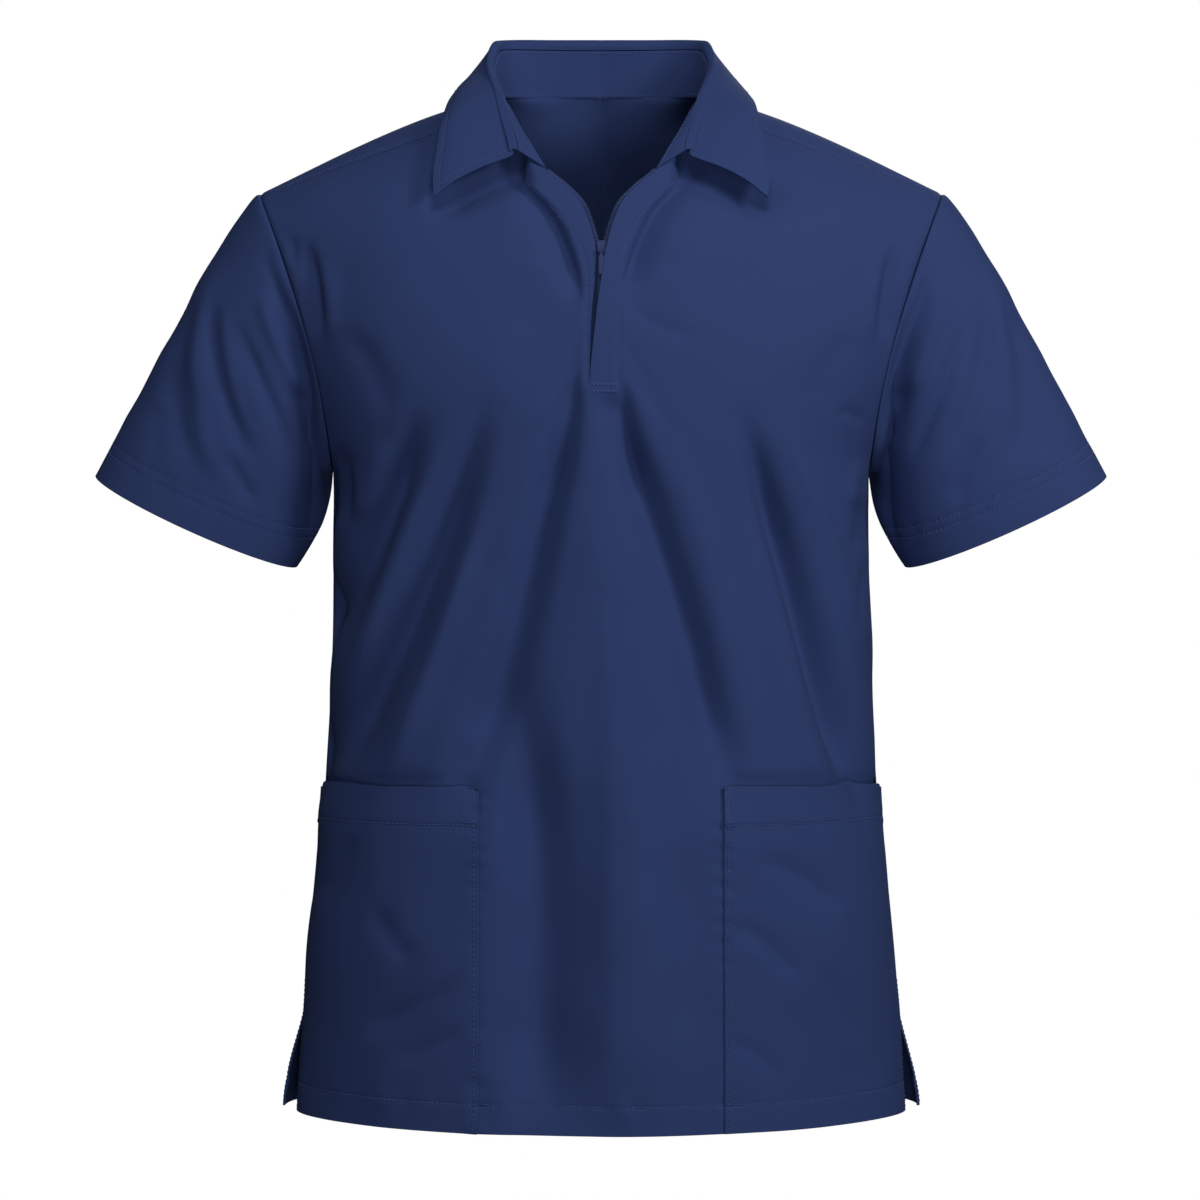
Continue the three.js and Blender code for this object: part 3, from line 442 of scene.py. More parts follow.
BACK_FOLDS = [
    [-92, -140, -146, -420, -8, 16, 11, 1.5, 7.0],
    [-128, -120, -176, -300, -4, 9, 8, 1.4, 4.0],
    [-70, -300, -98, -745, 4, 15, 20, 1.4, 6.0],
    [-34, -220, -42, -600, 3, 12, 15, 1.5, 5.0],
    [-160, -420, -170, -745, 2, 12, 14, 1.3, 5.5],
    [-18, -560, -22, -750, 0, 16, 12, 1.3, -3.5],
    [46, -190, 60, -520, 5, 15, 12, 1.6, 6.0],
    [28, -470, 34, -750, -3, 14, 18, 1.4, 4.5],
    [88, -150, 142, -400, 6, 11, 15, 1.5, 6.5],
    [126, -120, 172, -290, 4, 8, 8, 1.4, 4.0],
    [104, -430, 118, -748, 2, 17, 15, 1.3, 6.0],
    [164, -400, 176, -745, -2, 12, 12, 1.3, 5.0],
    [72, -300, 92, -560, 3, 9, 12, 1.4, -3.5],
    [-112, -300, -128, -560, -3, 12, 10, 1.4, -3.0],
    [-206, -104, -198, -186, 2, 8, 5, 1.2, 4.5],
    [206, -104, 198, -186, -2, 5, 8, 1.2, 4.5],
    [-40, -60, -96, -108, 3, 10, 8, 1.4, 2.2],
    [44, -64, 104, -104, -4, 8, 10, 1.4, 2.0],
]
SLEEVE_FOLDS = [
    # the wearer's right sleeve
    [-287, -120, -304, -214, -4, 8, 6, 1.2, -2.6],
    [-300, -144, -306, -270, -13, 8, 6, 1.4, 3.4],
    [-291, -144, -258, -266, -9, 5, 6, 1.5, 3.6],
    [-282, -156, -259, -256, -5, 5, 5, 1.3, -2.0],
    [-299, -186, -287, -279, -5, 6, 6, 1.2, -2.0],
    [-271, -167, -226, -270, 0, 5, 5, 1.4, 3.2],
    [-254, -140, -222, -216, -4, 5, 5, 1.2, -2.4],
    [-247, -122, -218, -205, 0, 5, 5, 1.2, 4.0],
    [-233, -210, -208, -260, 4, 6, 6, 1.1, 4.5],
    [-279, -262, -258, -299, 0, 6, 5, 1.0, 2.2],
    [-240, -90, -250, -128, 0, 6, 6, 1.2, 1.8],
    [-330, -226, -334, -262, 2, 8, 8, 1.0, 1.6],
    # the wearer's left sleeve
    [287, -124, 302, -216, 4, 6, 8, 1.2, -2.4],
    [298, -150, 308, -268, 12, 6, 8, 1.4, 3.2],
    [288, -146, 260, -262, 8, 6, 5, 1.5, 3.4],
    [272, -164, 230, -268, 2, 5, 5, 1.4, 3.4],
    [255, -138, 226, -220, 4, 5, 5, 1.2, -2.8],
    [246, -124, 219, -204, 1, 5, 5, 1.2, 3.8],
    [232, -208, 209, -258, -3, 6, 6, 1.1, 4.5],
    [219, -222, 212, -262, 0, 4, 5, 1.1, -2.0],
    [282, -250, 262, -296, 0, 5, 6, 1.0, 2.4],
    [326, -220, 336, -266, -3, 8, 8, 1.0, 1.6],
]
SLEEVE_TUCKS = [
    # beside the armhole, where the sleeve dips in behind the chest
    [-214, -140, -197, -345, 3, 24, 26, 1.1, 13.0],
    [214, -140, 197, -345, -3, 26, 24, 1.1, 13.0],
]
print("folds:", len(FRONT_FOLDS), "front,", len(BACK_FOLDS), "back,", len(SLEEVE_FOLDS), "sleeves")


# %% The folded surfaces
NUDGE = 0.004  # a small step along a surface, from which its direction is worked out
FLY_LINES = {  # of each side of the zip: the places of its stitching, as seen height and x
    -1: [
        (-209, -10.6), (-127, -11.1), (-113, -12.9), (-100, -19), (-88, -28.5), (-73, -41),
        (-60, -55),
    ],
    1: [(-209, 12.4), (-131.6, 13.7), (-107.8, 16.9), (-87, 27), (-73, 39.5), (-60, 54)],
}


def fly_x(z, side):
    """Where the fly's stitch line is seen at a height."""
    row = np.array(FLY_LINES[side], float)
    return np.interp(z, row[:, 0], row[:, 1])


def behind_mouth(x, z):
    """The front sinks in a little behind and above each pocket's mouth."""
    wide = smooth(np.abs(x), POCKET_EDGE_X + 2, POCKET_EDGE_X + 16)
    return 2.6 * wide * np.exp(-(((z - MOUTH_SEEN_Z) / np.where(z > MOUTH_SEEN_Z, 7, 16)) ** 2))


def sewn_depth(h, x, z):
    """What sewing does to the cloth beside it: a narrow dip along the hem's stitches, and short
    puckers across the hem and along the pocket's inner seam, stronger nearer the seam."""
    up = h * LOWER_LENGTH - HEM_DEPTH
    dip = 0.32 * np.exp(-((up / 1.3) ** 2))
    hem = 0.85 * np.exp(-((up / 9) ** 2)) * unevenness(x, 0 * z, 19, 41)
    beside = np.abs(x) - POCKET_EDGE_X - 4
    low = 1 - smooth(z, POCKET_TOP_Z - 8, POCKET_TOP_Z + 4)
    seam = 1.1 * np.exp(-((beside / 8) ** 2)) * unevenness(0 * x, z + x * 0.3, 15, 43) * low
    return dip + hem + seam + behind_mouth(x, z)


def front_depth(base, h, side, t):
    """How far the front is pressed in: its folds, which fade at the side seam, beside the open
    neck and the zip, and at the shoulder, a little unevenness, and what its sewing does."""
    x, z = seen(base)
    fade = smooth((1 - t) * 260, 0, 9)
    line = np.where(side < 0, fly_x(z, -1), fly_x(z, 1))
    fly = smooth(h, 1 + SLIT_BOTTOM - 0.09, 1 + SLIT_BOTTOM)
    free = smooth((x - line) * side, -3, 5) * smooth(t * 220, 1, 9)
    fade = fade * (1 + fly * (free - 1)) * (1 - smooth(h, 1.94, 2))
    soft = unevenness(x, z, 90, 3) * 0.9 + unevenness(x, z * 0.5, 34, 5) * 0.28
    fly_dip = 0.7 * np.exp(-(((x - line) / 1.8) ** 2)) * smooth(z, -213, -208)
    return (fold_depth(FRONT_FOLDS, x, z) + soft) * fade + sewn_depth(h, x, z) + fly_dip


def front_surface(h, side, t, offset=0.0):
    h, side, t = np.broadcast_arrays(np.asarray(h, float), side, np.asarray(t, float))
    base = front_base(h, side, t)
    n = normal_of(front_base, h, side, t, 1)
    return base + n * (offset - front_depth(base, h, side, t))[..., None]


def back_depth(base, h, t):
    """How far the back is pressed in, in the same terms."""
    x, z = base[..., 0], base[..., 2]
    fade = smooth((1 - t) * 260, 0, 9) * smooth(t * 240, 0, 12) * (1 - smooth(h, 1.5, 1.75))
    soft = unevenness(x, z, 95, 13) * 0.9 + unevenness(x, z * 0.5, 36, 15) * 0.3
    up = h * LOWER_LENGTH - HEM_DEPTH
    sewn = 0.3 * np.exp(-((up / 1.5) ** 2))
    sewn = sewn + 0.5 * np.exp(-((up / 9) ** 2)) * unevenness(x, 0 * z, 19, 47)
    return (fold_depth(BACK_FOLDS, x, z) + soft) * fade + sewn


def back_surface(h, side, t, offset=0.0):
    h, side, t = np.broadcast_arrays(np.asarray(h, float), side, np.asarray(t, float))
    base = back_base(h, side, t)
    n = normal_of(back_base, h, side, t, -1)
    return base + n * (offset - back_depth(base, h, t))[..., None]


def sleeve_base(w, angle):
    """A sleeve without folds: straight lines from the armhole (w 0) to the cuff's oval (w 1),
    with the head swollen outwards and the underside drawn in a little."""
    a = np.radians(angle)
    front = (np.sin(a) >= 0)[..., None]
    seam = np.where(front, armhole(angle, -ARMHOLE_FRONT), armhole(360 - angle, ARMHOLE_BACK))
    seam = seam + [SLEEVE_OFFSET, 0, 0]
    tilt = math.radians(CUFF_TILT)
    along = np.array([math.cos(tilt), 0, math.sin(tilt)])
    down = np.array([math.sin(tilt), 0, -math.cos(tilt)])
    cuff = (
        np.array(CUFF_CENTRE)
        - CUFF_HALF_LENGTH * np.cos(a)[..., None] * along
        + CUFF_DROOP * np.sin(a)[..., None] * down
        - CUFF_HALF_DEPTH * np.sin(a)[..., None] * np.array([0, 1, 0])
    )
    top = np.maximum(-np.cos(a), 0)
    under = np.maximum(np.cos(a), 0) ** 2
    point = seam + (cuff - seam) * np.asarray(w)[..., None]
    cap = np.sin(np.pi * np.sqrt(w)) * SLEEVE_CAP * top
    return point + stack(cap - np.sin(np.pi * w) * 7.5 * under, 0 * cap, cap * 0.5)


def sleeve_length(angle):
    """The sleeve's length from the armhole to the cuff, along the line at an angle round it."""
    ends = sleeve_base(1 + 0 * angle, angle) - sleeve_base(0 * angle, angle)
    return np.linalg.norm(ends, axis=-1)


def sleeve_surface(w, side, angle, offset=0.0):
    w, side, angle = np.broadcast_arrays(np.asarray(w, float), side, np.asarray(angle, float))
    base = sleeve_base(w, angle)
    across = sleeve_base(w, angle + 0.5) - sleeve_base(w, angle - 0.5)
    along = sleeve_base(np.minimum(w + NUDGE, 1), angle)
    along = along - sleeve_base(np.maximum(w - NUDGE, 0), angle)
    n = unit(np.cross(along, across))
    sign = stack(side, 1, 1)
    base, n = base * sign, n * sign
    x, z = seen(base)
    from_cuff = (1 - w) * sleeve_length(angle)
    fade = smooth(w, 0, 0.07) * smooth(from_cuff, 16, 46)
    facing = smooth(-n[..., 1], -0.25, 0.35)
    front_folds = fold_depth(SLEEVE_FOLDS, x, z)
    back_folds = fold_depth(SLEEVE_FOLDS, -x * 1.02 + 4, z + 9)
    soft = unevenness(x, z, 60, 23) * 0.6 + unevenness(x, z * 0.6, 26, 25) * 0.25
    depth = (front_folds * facing + back_folds * 0.9 * (1 - facing) + soft) * fade
    ahead = smooth(-n[..., 1], -0.35, 0.4) * smooth(w, 0, 0.04) * smooth(from_cuff, 0, 20)
    depth = depth + fold_depth(SLEEVE_TUCKS, x, z) * ahead
    dips = sum(np.exp(-(((from_cuff - row) / 1.1) ** 2)) for row in (CUFF_HEM, CUFF_TWIN))
    round_hem = np.exp(-(((from_cuff - CUFF_HEM) / 11) ** 2))
    depth = depth + 0.3 * dips + 0.5 * round_hem * unevenness(x, base[..., 1], 18, 27)
    return base + n * (offset - depth)[..., None]


# %% [markdown]
# ## From a surface to a shell of cloth
#
# A sheet of points becomes a thin closed shell: the sheet is moved out and in along its
# normals, and its open edges are closed with a strip. Each vertex also keeps its place on the
# flat cloth as a UV, in metres, so that the weave runs with the cloth and not with the room.

# %% Shell and mesh helpers
def grid_quads(rows, columns, ring=False):
    """The corner numbers of each cell of a grid, counterclockwise for columns to the right and
    rows up."""
    r, c = np.meshgrid(np.arange(rows - 1), np.arange(columns - (0 if ring else 1)), indexing="ij")
    n = (c + 1) % columns
    low, high = r * columns, (r + 1) * columns
    return np.stack([low + c, low + n, high + n, high + c], -1).reshape(-1, 4)


def point_normals(points, quads):
    """Each cell's normal is the cross product of its diagonals; a point sums its cells'."""
    a, b, c, d = (points[quads[:, i]] for i in range(4))
    n = np.cross(c - a, d - b)
    total = np.zeros_like(points)
    for corner in range(4):
        np.add.at(total, quads[:, corner], n)
    return total / np.maximum(np.linalg.norm(total, axis=1, keepdims=True), 1e-12)


def shell(points, quads, uv, out, inn, normals=None):
    """A closed wall round a sheet: points + out * normal, points - inn * normal, and a strip of
    quads along each edge that only one cell uses."""
    normals = point_normals(points, quads) if normals is None else normals
    count = len(points)
    out = np.broadcast_to(out, count)[:, None]
    inn = np.broadcast_to(inn, count)[:, None]
    both = np.vstack([points + normals * out, points - normals * inn])
    edges = np.vstack([quads[:, [i, (i + 1) % 4]] for i in range(4)])
    code = edges[:, 0].astype(np.int64) * count + edges[:, 1]
    back = edges[:, 1].astype(np.int64) * count + edges[:, 0]
    rim = edges[~np.isin(code, back)]
    strip = np.stack([rim[:, 1], rim[:, 0], rim[:, 0] + count, rim[:, 1] + count], -1)
    faces = np.vstack([quads, quads[:, ::-1] + count, strip])
    return both, faces, np.vstack([uv, uv])


def mesh_piece(name, points, faces, uv, material, slot="cloth", body=GARMENT, around=0.0):
    """A mesh object at the origin from arrays in millimetres, riding on a body. Where a tube's
    last cells meet its first, around is added to the first ones' UV."""
    mesh = bpy.data.meshes.new(name)
    corners = faces.shape[1]
    mesh.vertices.add(len(points))
    mesh.vertices.foreach_set("co", (points * MM).astype(np.float32).ravel())
    mesh.loops.add(faces.size)
    mesh.loops.foreach_set("vertex_index", faces.astype(np.int32).ravel())
    mesh.polygons.add(len(faces))
    mesh.polygons.foreach_set("loop_start", np.arange(0, faces.size, corners, dtype=np.int32))
    mesh.polygons.foreach_set("use_smooth", np.ones(len(faces), bool))
    mesh.update(calc_edges=True)
    layer = mesh.uv_layers.new(name="cloth")
    corner_uv = uv[faces]
    if around:
        wide = np.ptp(corner_uv[..., 0], axis=1, keepdims=True) > around / 2
        corner_uv[..., 0] += np.where(wide & (corner_uv[..., 0] < 0), around, 0)
    layer.data.foreach_set("uv", (corner_uv * MM).astype(np.float32).ravel())
    mesh.materials.append(material)
    piece = bpy.data.objects.new(name, mesh)
    bpy.context.scene.collection.objects.link(piece)
    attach(piece, body)
    triangles = len(faces) * (corners - 2)
    print(f"{name}: {triangles} triangles")
    return piece


def flat_uv(points):
    """Where a grid of points lies on the flat cloth: running lengths along its rows and up its
    columns, both measured from the grid's middle."""
    rows, columns = points.shape[:2]
    u = np.zeros((rows, columns))
    u[:, 1:] = np.cumsum(np.linalg.norm(np.diff(points, axis=1), axis=2), axis=1)
    u -= u[:, columns // 2][:, None]
    v = np.zeros((rows, columns))
    v[1:] = np.cumsum(np.linalg.norm(np.diff(points, axis=0), axis=2), axis=0)
    v = v.mean(axis=1, keepdims=True) + 0 * v
    return np.stack([u, v], -1)


def sheet_area(points):
    """The area of a grid of points, in square metres: half the cross product of each cell's
    diagonals."""
    a = points[1:, 1:] - points[:-1, :-1]
    b = points[1:, :-1] - points[:-1, 1:]
    return float(np.linalg.norm(np.cross(a, b), axis=-1).sum() / 2 * MM**2)


def sheet_piece(name, grid, out, inn, material, slot="cloth", quads=None, uv=None, around=0.0):
    """A shell round a grid of points, put in the place of the solid of the same name."""
    quads = grid_quads(*grid.shape[:2]) if quads is None else quads
    uv = flat_uv(grid).reshape(-1, 2) if uv is None else uv
    made = shell(grid.reshape(-1, 3), quads, uv, out, inn)
    piece = mesh_piece(name, *made, material, slot, around=around)
    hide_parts(name)
    print(f"{name}: a shell of {len(made[0])} points")
    return piece


def running(line):
    """The distance run along a line of points, at each of them."""
    return np.concatenate([[0], np.cumsum(np.linalg.norm(np.diff(line, axis=0), axis=1))])


def along_line(distance, run, values):
    """Values known at the points of a line, read off at other distances along it."""
    return np.stack([np.interp(distance, run, column) for column in values.T], -1)


def rings(centres, across, up, turn, wide, high, lift=0.0):
    """Rings of points round each row of centres: wide * cos(turn) across, and
    high * sin(turn) + lift upwards, with one width, height and lift for each ring of a row."""
    lift = np.broadcast_to(lift, len(wide))[:, None, None]
    wide, high, turn = wide[:, None, None], high[:, None, None], turn[:, None]
    ring = np.cos(turn) * wide * across[:, None, None]
    ring = ring + (np.sin(turn) * high + lift) * up[:, None, None]
    return (centres[:, :, None] + ring).reshape(-1, 3)


def repeated(one, points, count):
    """The faces of one small closed body, repeated for all of them. They are turned over where
    the signed volume, the sum of a . (b x c) over the triangles, is negative."""
    size = len(points) // count
    a, b, c, d = (points[one[:, i]] - points[:size].mean(axis=0) for i in range(4))
    one = one if (a * (np.cross(b, c) + np.cross(c, d))).sum() > 0 else one[:, ::-1]
    return ((np.arange(count) * size)[:, None, None] + one).reshape(-1, 4)


# %% [markdown]
# ## Cloth, thread, tape and metal
#
# The cloth is a dull poly-cotton twill. Two small shader groups carry what its pieces share: a
# tone that drifts over the cloth, and the fine ribs of a twill. Both read the flat cloth's UV, so
# the ribs follow each piece's grain. The photo shows no gloss, only a little sheen at the folds.

# %% Shared shader groups
def node_group(name, inputs, outputs):
    """A shader group with named inputs (name, kind, default) and outputs (name, kind)."""
    group = bpy.data.node_groups.new(name, "ShaderNodeTree")
    for label, kind, default in inputs:
        socket = group.interface.new_socket(label, in_out="INPUT", socket_type=kind)
        if default is not None:
            socket.default_value = default
    for label, kind in outputs:
        group.interface.new_socket(label, in_out="OUTPUT", socket_type=kind)
    return group, group.nodes.new("NodeGroupInput"), group.nodes.new("NodeGroupOutput")


def feed(group, socket, value):
    """Puts a link, where the value is another node's socket, or else a constant on a socket."""
    if hasattr(value, "links"):
        group.links.new(value, socket)
    else:
        socket.default_value = value


def math_node(group, operation, *values):
    node = group.nodes.new("ShaderNodeMath")
    node.operation = operation
    for socket, value in zip(node.inputs, values):
        feed(group, socket, value)
    return node.outputs[0]


def mix_colour(group, factor, a, b):
    node = group.nodes.new("ShaderNodeMix")
    node.data_type = "RGBA"
    for number, value in ((0, factor), (6, a), (7, b)):
        feed(group, node.inputs[number], value)
    return node.outputs[2]


def noise(group, vector, scale, detail=2.0):
    node = group.nodes.new("ShaderNodeTexNoise")
    node.inputs["Scale"].default_value = scale
    node.inputs["Detail"].default_value = detail
    group.links.new(vector, node.inputs["Vector"])
    return node.outputs["Fac"]


tone, tone_in, tone_out = node_group(
    "dyed tone",
    [
        ("Vector", "NodeSocketVector", None),
        ("Dye", "NodeSocketColor", (0.05, 0.08, 0.23, 1)),
        ("Worn", "NodeSocketColor", (0.06, 0.095, 0.26, 1)),
    ],
    [("Colour", "NodeSocketColor"), ("Roughness", "NodeSocketFloat")],
)
drift = noise(tone, tone_in.outputs["Vector"], 9.0, 3.0)
speck = noise(tone, tone_in.outputs["Vector"], 620.0, 1.0)
amount = math_node(tone, "MULTIPLY_ADD", speck, 0.45, math_node(tone, "MULTIPLY", drift, 0.6))
shade = mix_colour(tone, amount, tone_in.outputs["Dye"], tone_in.outputs["Worn"])
tone.links.new(shade, tone_out.inputs["Colour"])
tone.links.new(math_node(tone, "MULTIPLY_ADD", drift, 0.1, 0.78), tone_out.inputs["Roughness"])

twill, twill_in, twill_out = node_group(
    "twill",
    [("Vector", "NodeSocketVector", None), ("Rib", "NodeSocketFloat", 0.0011)],
    [("Height", "NodeSocketFloat")],
)
split = twill.nodes.new("ShaderNodeSeparateXYZ")
twill.links.new(twill_in.outputs["Vector"], split.inputs[0])
lean = math_node(twill, "MULTIPLY_ADD", split.outputs["X"], 1.6, split.outputs["Y"])
turns = math_node(twill, "DIVIDE", lean, twill_in.outputs["Rib"])
rib = math_node(twill, "SINE", math_node(twill, "MULTIPLY", turns, 2 * math.pi))
fuzz = noise(twill, twill_in.outputs["Vector"], 1500.0, 1.0)
twill.links.new(math_node(twill, "MULTIPLY_ADD", rib, 0.3, fuzz), twill_out.inputs["Height"])


# %% Materials
GLOSS = 0.12  # the Specular IOR Level of everything here: the photo shows no highlights


def new_material(name):
    material = bpy.data.materials.new(name)
    material.use_nodes = True
    shader = material.node_tree.nodes["Principled BSDF"]
    shader.inputs["Specular IOR Level"].default_value = GLOSS
    return material, material.node_tree, shader


def cloth_material(name, dye, worn, rib=0.0011, sheen=0.03):
    """Principled cloth: the dyed tone drives colour and roughness, the twill a fine bump."""
    material, tree, shader = new_material(name)
    uv = tree.nodes.new("ShaderNodeUVMap")
    uv.uv_map = "cloth"
    colour = tree.nodes.new("ShaderNodeGroup")
    colour.node_tree = tone
    colour.inputs["Dye"].default_value = (*dye, 1)
    colour.inputs["Worn"].default_value = (*worn, 1)
    ribs = tree.nodes.new("ShaderNodeGroup")
    ribs.node_tree = twill
    ribs.inputs["Rib"].default_value = rib
    bump = tree.nodes.new("ShaderNodeBump")
    bump.inputs["Strength"].default_value = 0.25
    bump.inputs["Distance"].default_value = 0.00012
    tree.links.new(uv.outputs["UV"], colour.inputs["Vector"])
    tree.links.new(uv.outputs["UV"], ribs.inputs["Vector"])
    tree.links.new(colour.outputs["Colour"], shader.inputs["Base Color"])
    tree.links.new(colour.outputs["Roughness"], shader.inputs["Roughness"])
    tree.links.new(ribs.outputs["Height"], bump.inputs["Height"])
    tree.links.new(bump.outputs["Normal"], shader.inputs["Normal"])
    shader.inputs["Sheen Weight"].default_value = sheen
    shader.inputs["Sheen Roughness"].default_value = 0.5
    shader.inputs["Sheen Tint"].default_value = (0.45, 0.55, 0.9, 1)
    return material


def hard_material(name, colour, worn, roughness, metallic, scale):
    """Moulded or painted pieces: a noise in object space shifts the colour and the gloss."""
    material, tree, shader = new_material(name)
    place = tree.nodes.new("ShaderNodeTexCoord")
    factor = noise(tree, place.outputs["Object"], scale)
    tree.links.new(mix_colour(tree, factor, (*colour, 1), (*worn, 1)), shader.inputs["Base Color"])
    gloss = math_node(tree, "MULTIPLY_ADD", factor, 0.2, roughness - 0.1)
    tree.links.new(gloss, shader.inputs["Roughness"])
    shader.inputs["Metallic"].default_value = metallic
    return material


COLOURS = {  # where the dye is full, and where it is worn
    "cloth": [(0.034, 0.059, 0.185), (0.040, 0.068, 0.205)],
    "thread": [(0.062, 0.098, 0.27), (0.08, 0.122, 0.32)],
    # the zip tape's colour is darker than the cloth: painted shade for the dark gap beside the zip
    "tape": [(0.014, 0.025, 0.08), (0.018, 0.031, 0.095)],
    "teeth": [(0.06, 0.09, 0.24), (0.08, 0.12, 0.3)],
    "paint": [(0.028, 0.048, 0.15), (0.038, 0.062, 0.18)],
}
cloth = cloth_material("navy twill", *COLOURS["cloth"])
thread = cloth_material("navy thread", *COLOURS["thread"], rib=0.0004, sheen=0.2)
# the tape's material carries painted shade: its colour is darkened to the shade of the zip's gap
tape_with_painted_shade = cloth_material("zip tape, painted dark for shade", *COLOURS["tape"], rib=0.0007)
teeth_plastic = hard_material("moulded teeth", *COLOURS["teeth"], 0.4, 0, 400)
painted = hard_material("painted metal", *COLOURS["paint"], 0.45, 0, 500)


# %% [markdown]
# ## Sewing
#
# A machine stitch is a short bar of thread that dives into the cloth at both ends. One small
# six-sided bar is shaped once; a whole line is that bar repeated along a traced curve, all worked
# out as one array. The thread is a shade lighter than the cloth, so each line shows faintly.

# %% Stitches along a line
STITCH, STITCH_GAP, THREAD = 2.4, 1.1, 0.32


def resample(line, normals, step):
    """Where each stitch of a line starts and ends, at even distances, and the normal there."""
    run = running(line)
    count = max(int(run[-1] / step), 1)
    starts = (np.arange(count) + 0.08) * run[-1] / count
    ends = [along_line(starts + ahead, run, line) for ahead in (0, STITCH)]
    return *ends, along_line(starts + STITCH / 2, run, normals)


def bars(start, end, normal, radius):
    """Six-sided bars from start to end: five rings, thin and sunk at the tips, full between."""
    along = unit(end - start)
    side = unit(np.cross(along, normal))
    share, thick, high = np.array([
        [0, 0.12, 0.5, 0.88, 1.0],
        [0.35, 0.9, 1.0, 0.9, 0.35],
        [-1.3, 0.15, 0.5, 0.15, -1.3],
    ])
    middle = start[:, None] + (end - start)[:, None] * share[:, None]
    turn = np.radians(np.arange(6) * 60)
    thick = thick * radius
    points = rings(middle, side, np.cross(side, along), turn, thick, thick, high * radius)
    caps = np.array([[0, 1, 2, 3], [0, 3, 4, 5], [27, 26, 25, 24], [29, 28, 27, 24]])
    one = np.vstack([grid_quads(5, 6, ring=True), caps])
    return points, repeated(one, points, len(start))


def sew(name, lines, radius=THREAD, step=STITCH + STITCH_GAP):
    """One piece with all the stitches of several lines, each given as (points, normals)."""
    parts = [bars(*resample(line, normals, step), radius) for line, normals in lines]
    shift = np.cumsum([0] + [len(p[0]) for p in parts[:-1]])
    points = np.vstack([p[0] for p in parts])
    faces = np.vstack([p[1] + s for p, s in zip(parts, shift)])
    return mesh_piece(name, points, faces, points[:, [0, 2]], thread)


def traced(surface, a, side, b, lift):
    """A line on a surface at the parameters (a, b), lifted off it, with its normals."""
    a, side, b = np.broadcast_arrays(np.asarray(a, float), side, np.asarray(b, float))
    line = surface(a, side, b, lift)
    return line, unit(line - surface(a, side, b, lift - 1))


# %% [markdown]
# ## The front
#
# The real front is cut in one piece, slit from the neck to the chest for the zip, and hemmed at
# the bottom. Here it is one grid with the slit left open: both halves are worked out on their
# own, and below the slit their centre points are welded.

# %% Front panel
def height_of(z):
    return (z - HEM_Z) / (UNDERARM_Z - HEM_Z)


HEM_LINE = height_of(HEM_Z + HEM_DEPTH)
BAND_LINE = height_of(POCKET_TOP_Z - POCKET_BAND)
MOUTH_LINE = height_of(POCKET_TOP_Z)
LOWER_ROWS = np.unique(np.concatenate([
    np.linspace(0, 1, 122),
    height_of(HEM_Z + np.array([0.5, 1.3, 18.4, 19.6, 20.5, 21.4, 22.6])),
]))
SEAM_STEPS = np.array([0.9, 2.2, 4.0])


def columns_of(width, fine, coarse, fine_width):
    """Shares of a width: fine steps over the first fine_width mm, coarse steps beyond, and a few
    narrow ones beside the outer edge."""
    near = np.arange(0, fine_width, fine)
    far = np.linspace(fine_width, width, max(int((width - fine_width) / coarse), 2))
    return np.unique(np.concatenate([near, [0.6], far, width - SEAM_STEPS])) / width


def seam_roll(points, quads_normals, distance, depth=0.9, reach=2.0):
    """Cloth turns in at a seam: points sink by depth * exp(-(distance / reach)^2)."""
    return points - quads_normals * (depth * np.exp(-((distance / reach) ** 2)))[..., None]


def edge_distance(grid):
    """How far each point of a grid is from the last column, along its own row."""
    step = np.linalg.norm(np.diff(grid, axis=1), axis=2)
    run = np.concatenate([np.zeros((len(grid), 1)), np.cumsum(step, axis=1)], axis=1)
    return run[:, -1:] - run


FRONT_ROWS = np.unique(np.concatenate([
    LOWER_ROWS,
    np.linspace(1, 1 + SLIT_BOTTOM, 30),
    np.linspace(1 + SLIT_BOTTOM, 1 + NECK_CORNER, 40),
    np.linspace(1 + NECK_CORNER, 2 - 0.0012, 14),
    [2 - 0.006, 2 - 0.016],
]))
FRONT_COLUMNS = columns_of(HALF_WIDTH, 1.5, 2.9, 27)


def hem_layers(rows, line):
    """Wall behind the sheet: three layers of cloth up to the hem line and one above it."""
    return SHELL * (0.5 + 0.9 * (1 - smooth(rows, line - 0.002, line + 0.002)))


def relax(grid, weight, passes=140):
    """Evens a grid out: each pass moves its inner points towards the mean of their four
    neighbours, by the weight. It rounds off the bend where the rings meet the rows."""
    grid = grid.copy()
    for _ in range(passes):
        mean = (grid[:-2, 1:-1] + grid[2:, 1:-1] + grid[1:-1, :-2] + grid[1:-1, 2:]) / 4
        grid[1:-1, 1:-1] += weight[1:-1, 1:-1, None] * (mean - grid[1:-1, 1:-1])
    return grid


def grid_normals(grid, facing):
    """The cross product of a grid's differences along its columns and its rows."""
    return unit(np.cross(np.gradient(grid, axis=1), np.gradient(grid, axis=0))) * facing


def front_half(side):
    h, t = np.meshgrid(FRONT_ROWS, FRONT_COLUMNS, indexing="ij")
    weight = smooth(h, 0.7, 0.95) * (1 - smooth(h, 1.25, 1.6)) * smooth(t, 0, 0.2)
    grid = relax(front_base(h, side, t), weight)
    n = grid_normals(grid, side)
    grid = grid - n * front_depth(grid, h, side, t)[..., None]
    return seam_roll(grid, n, edge_distance(grid))


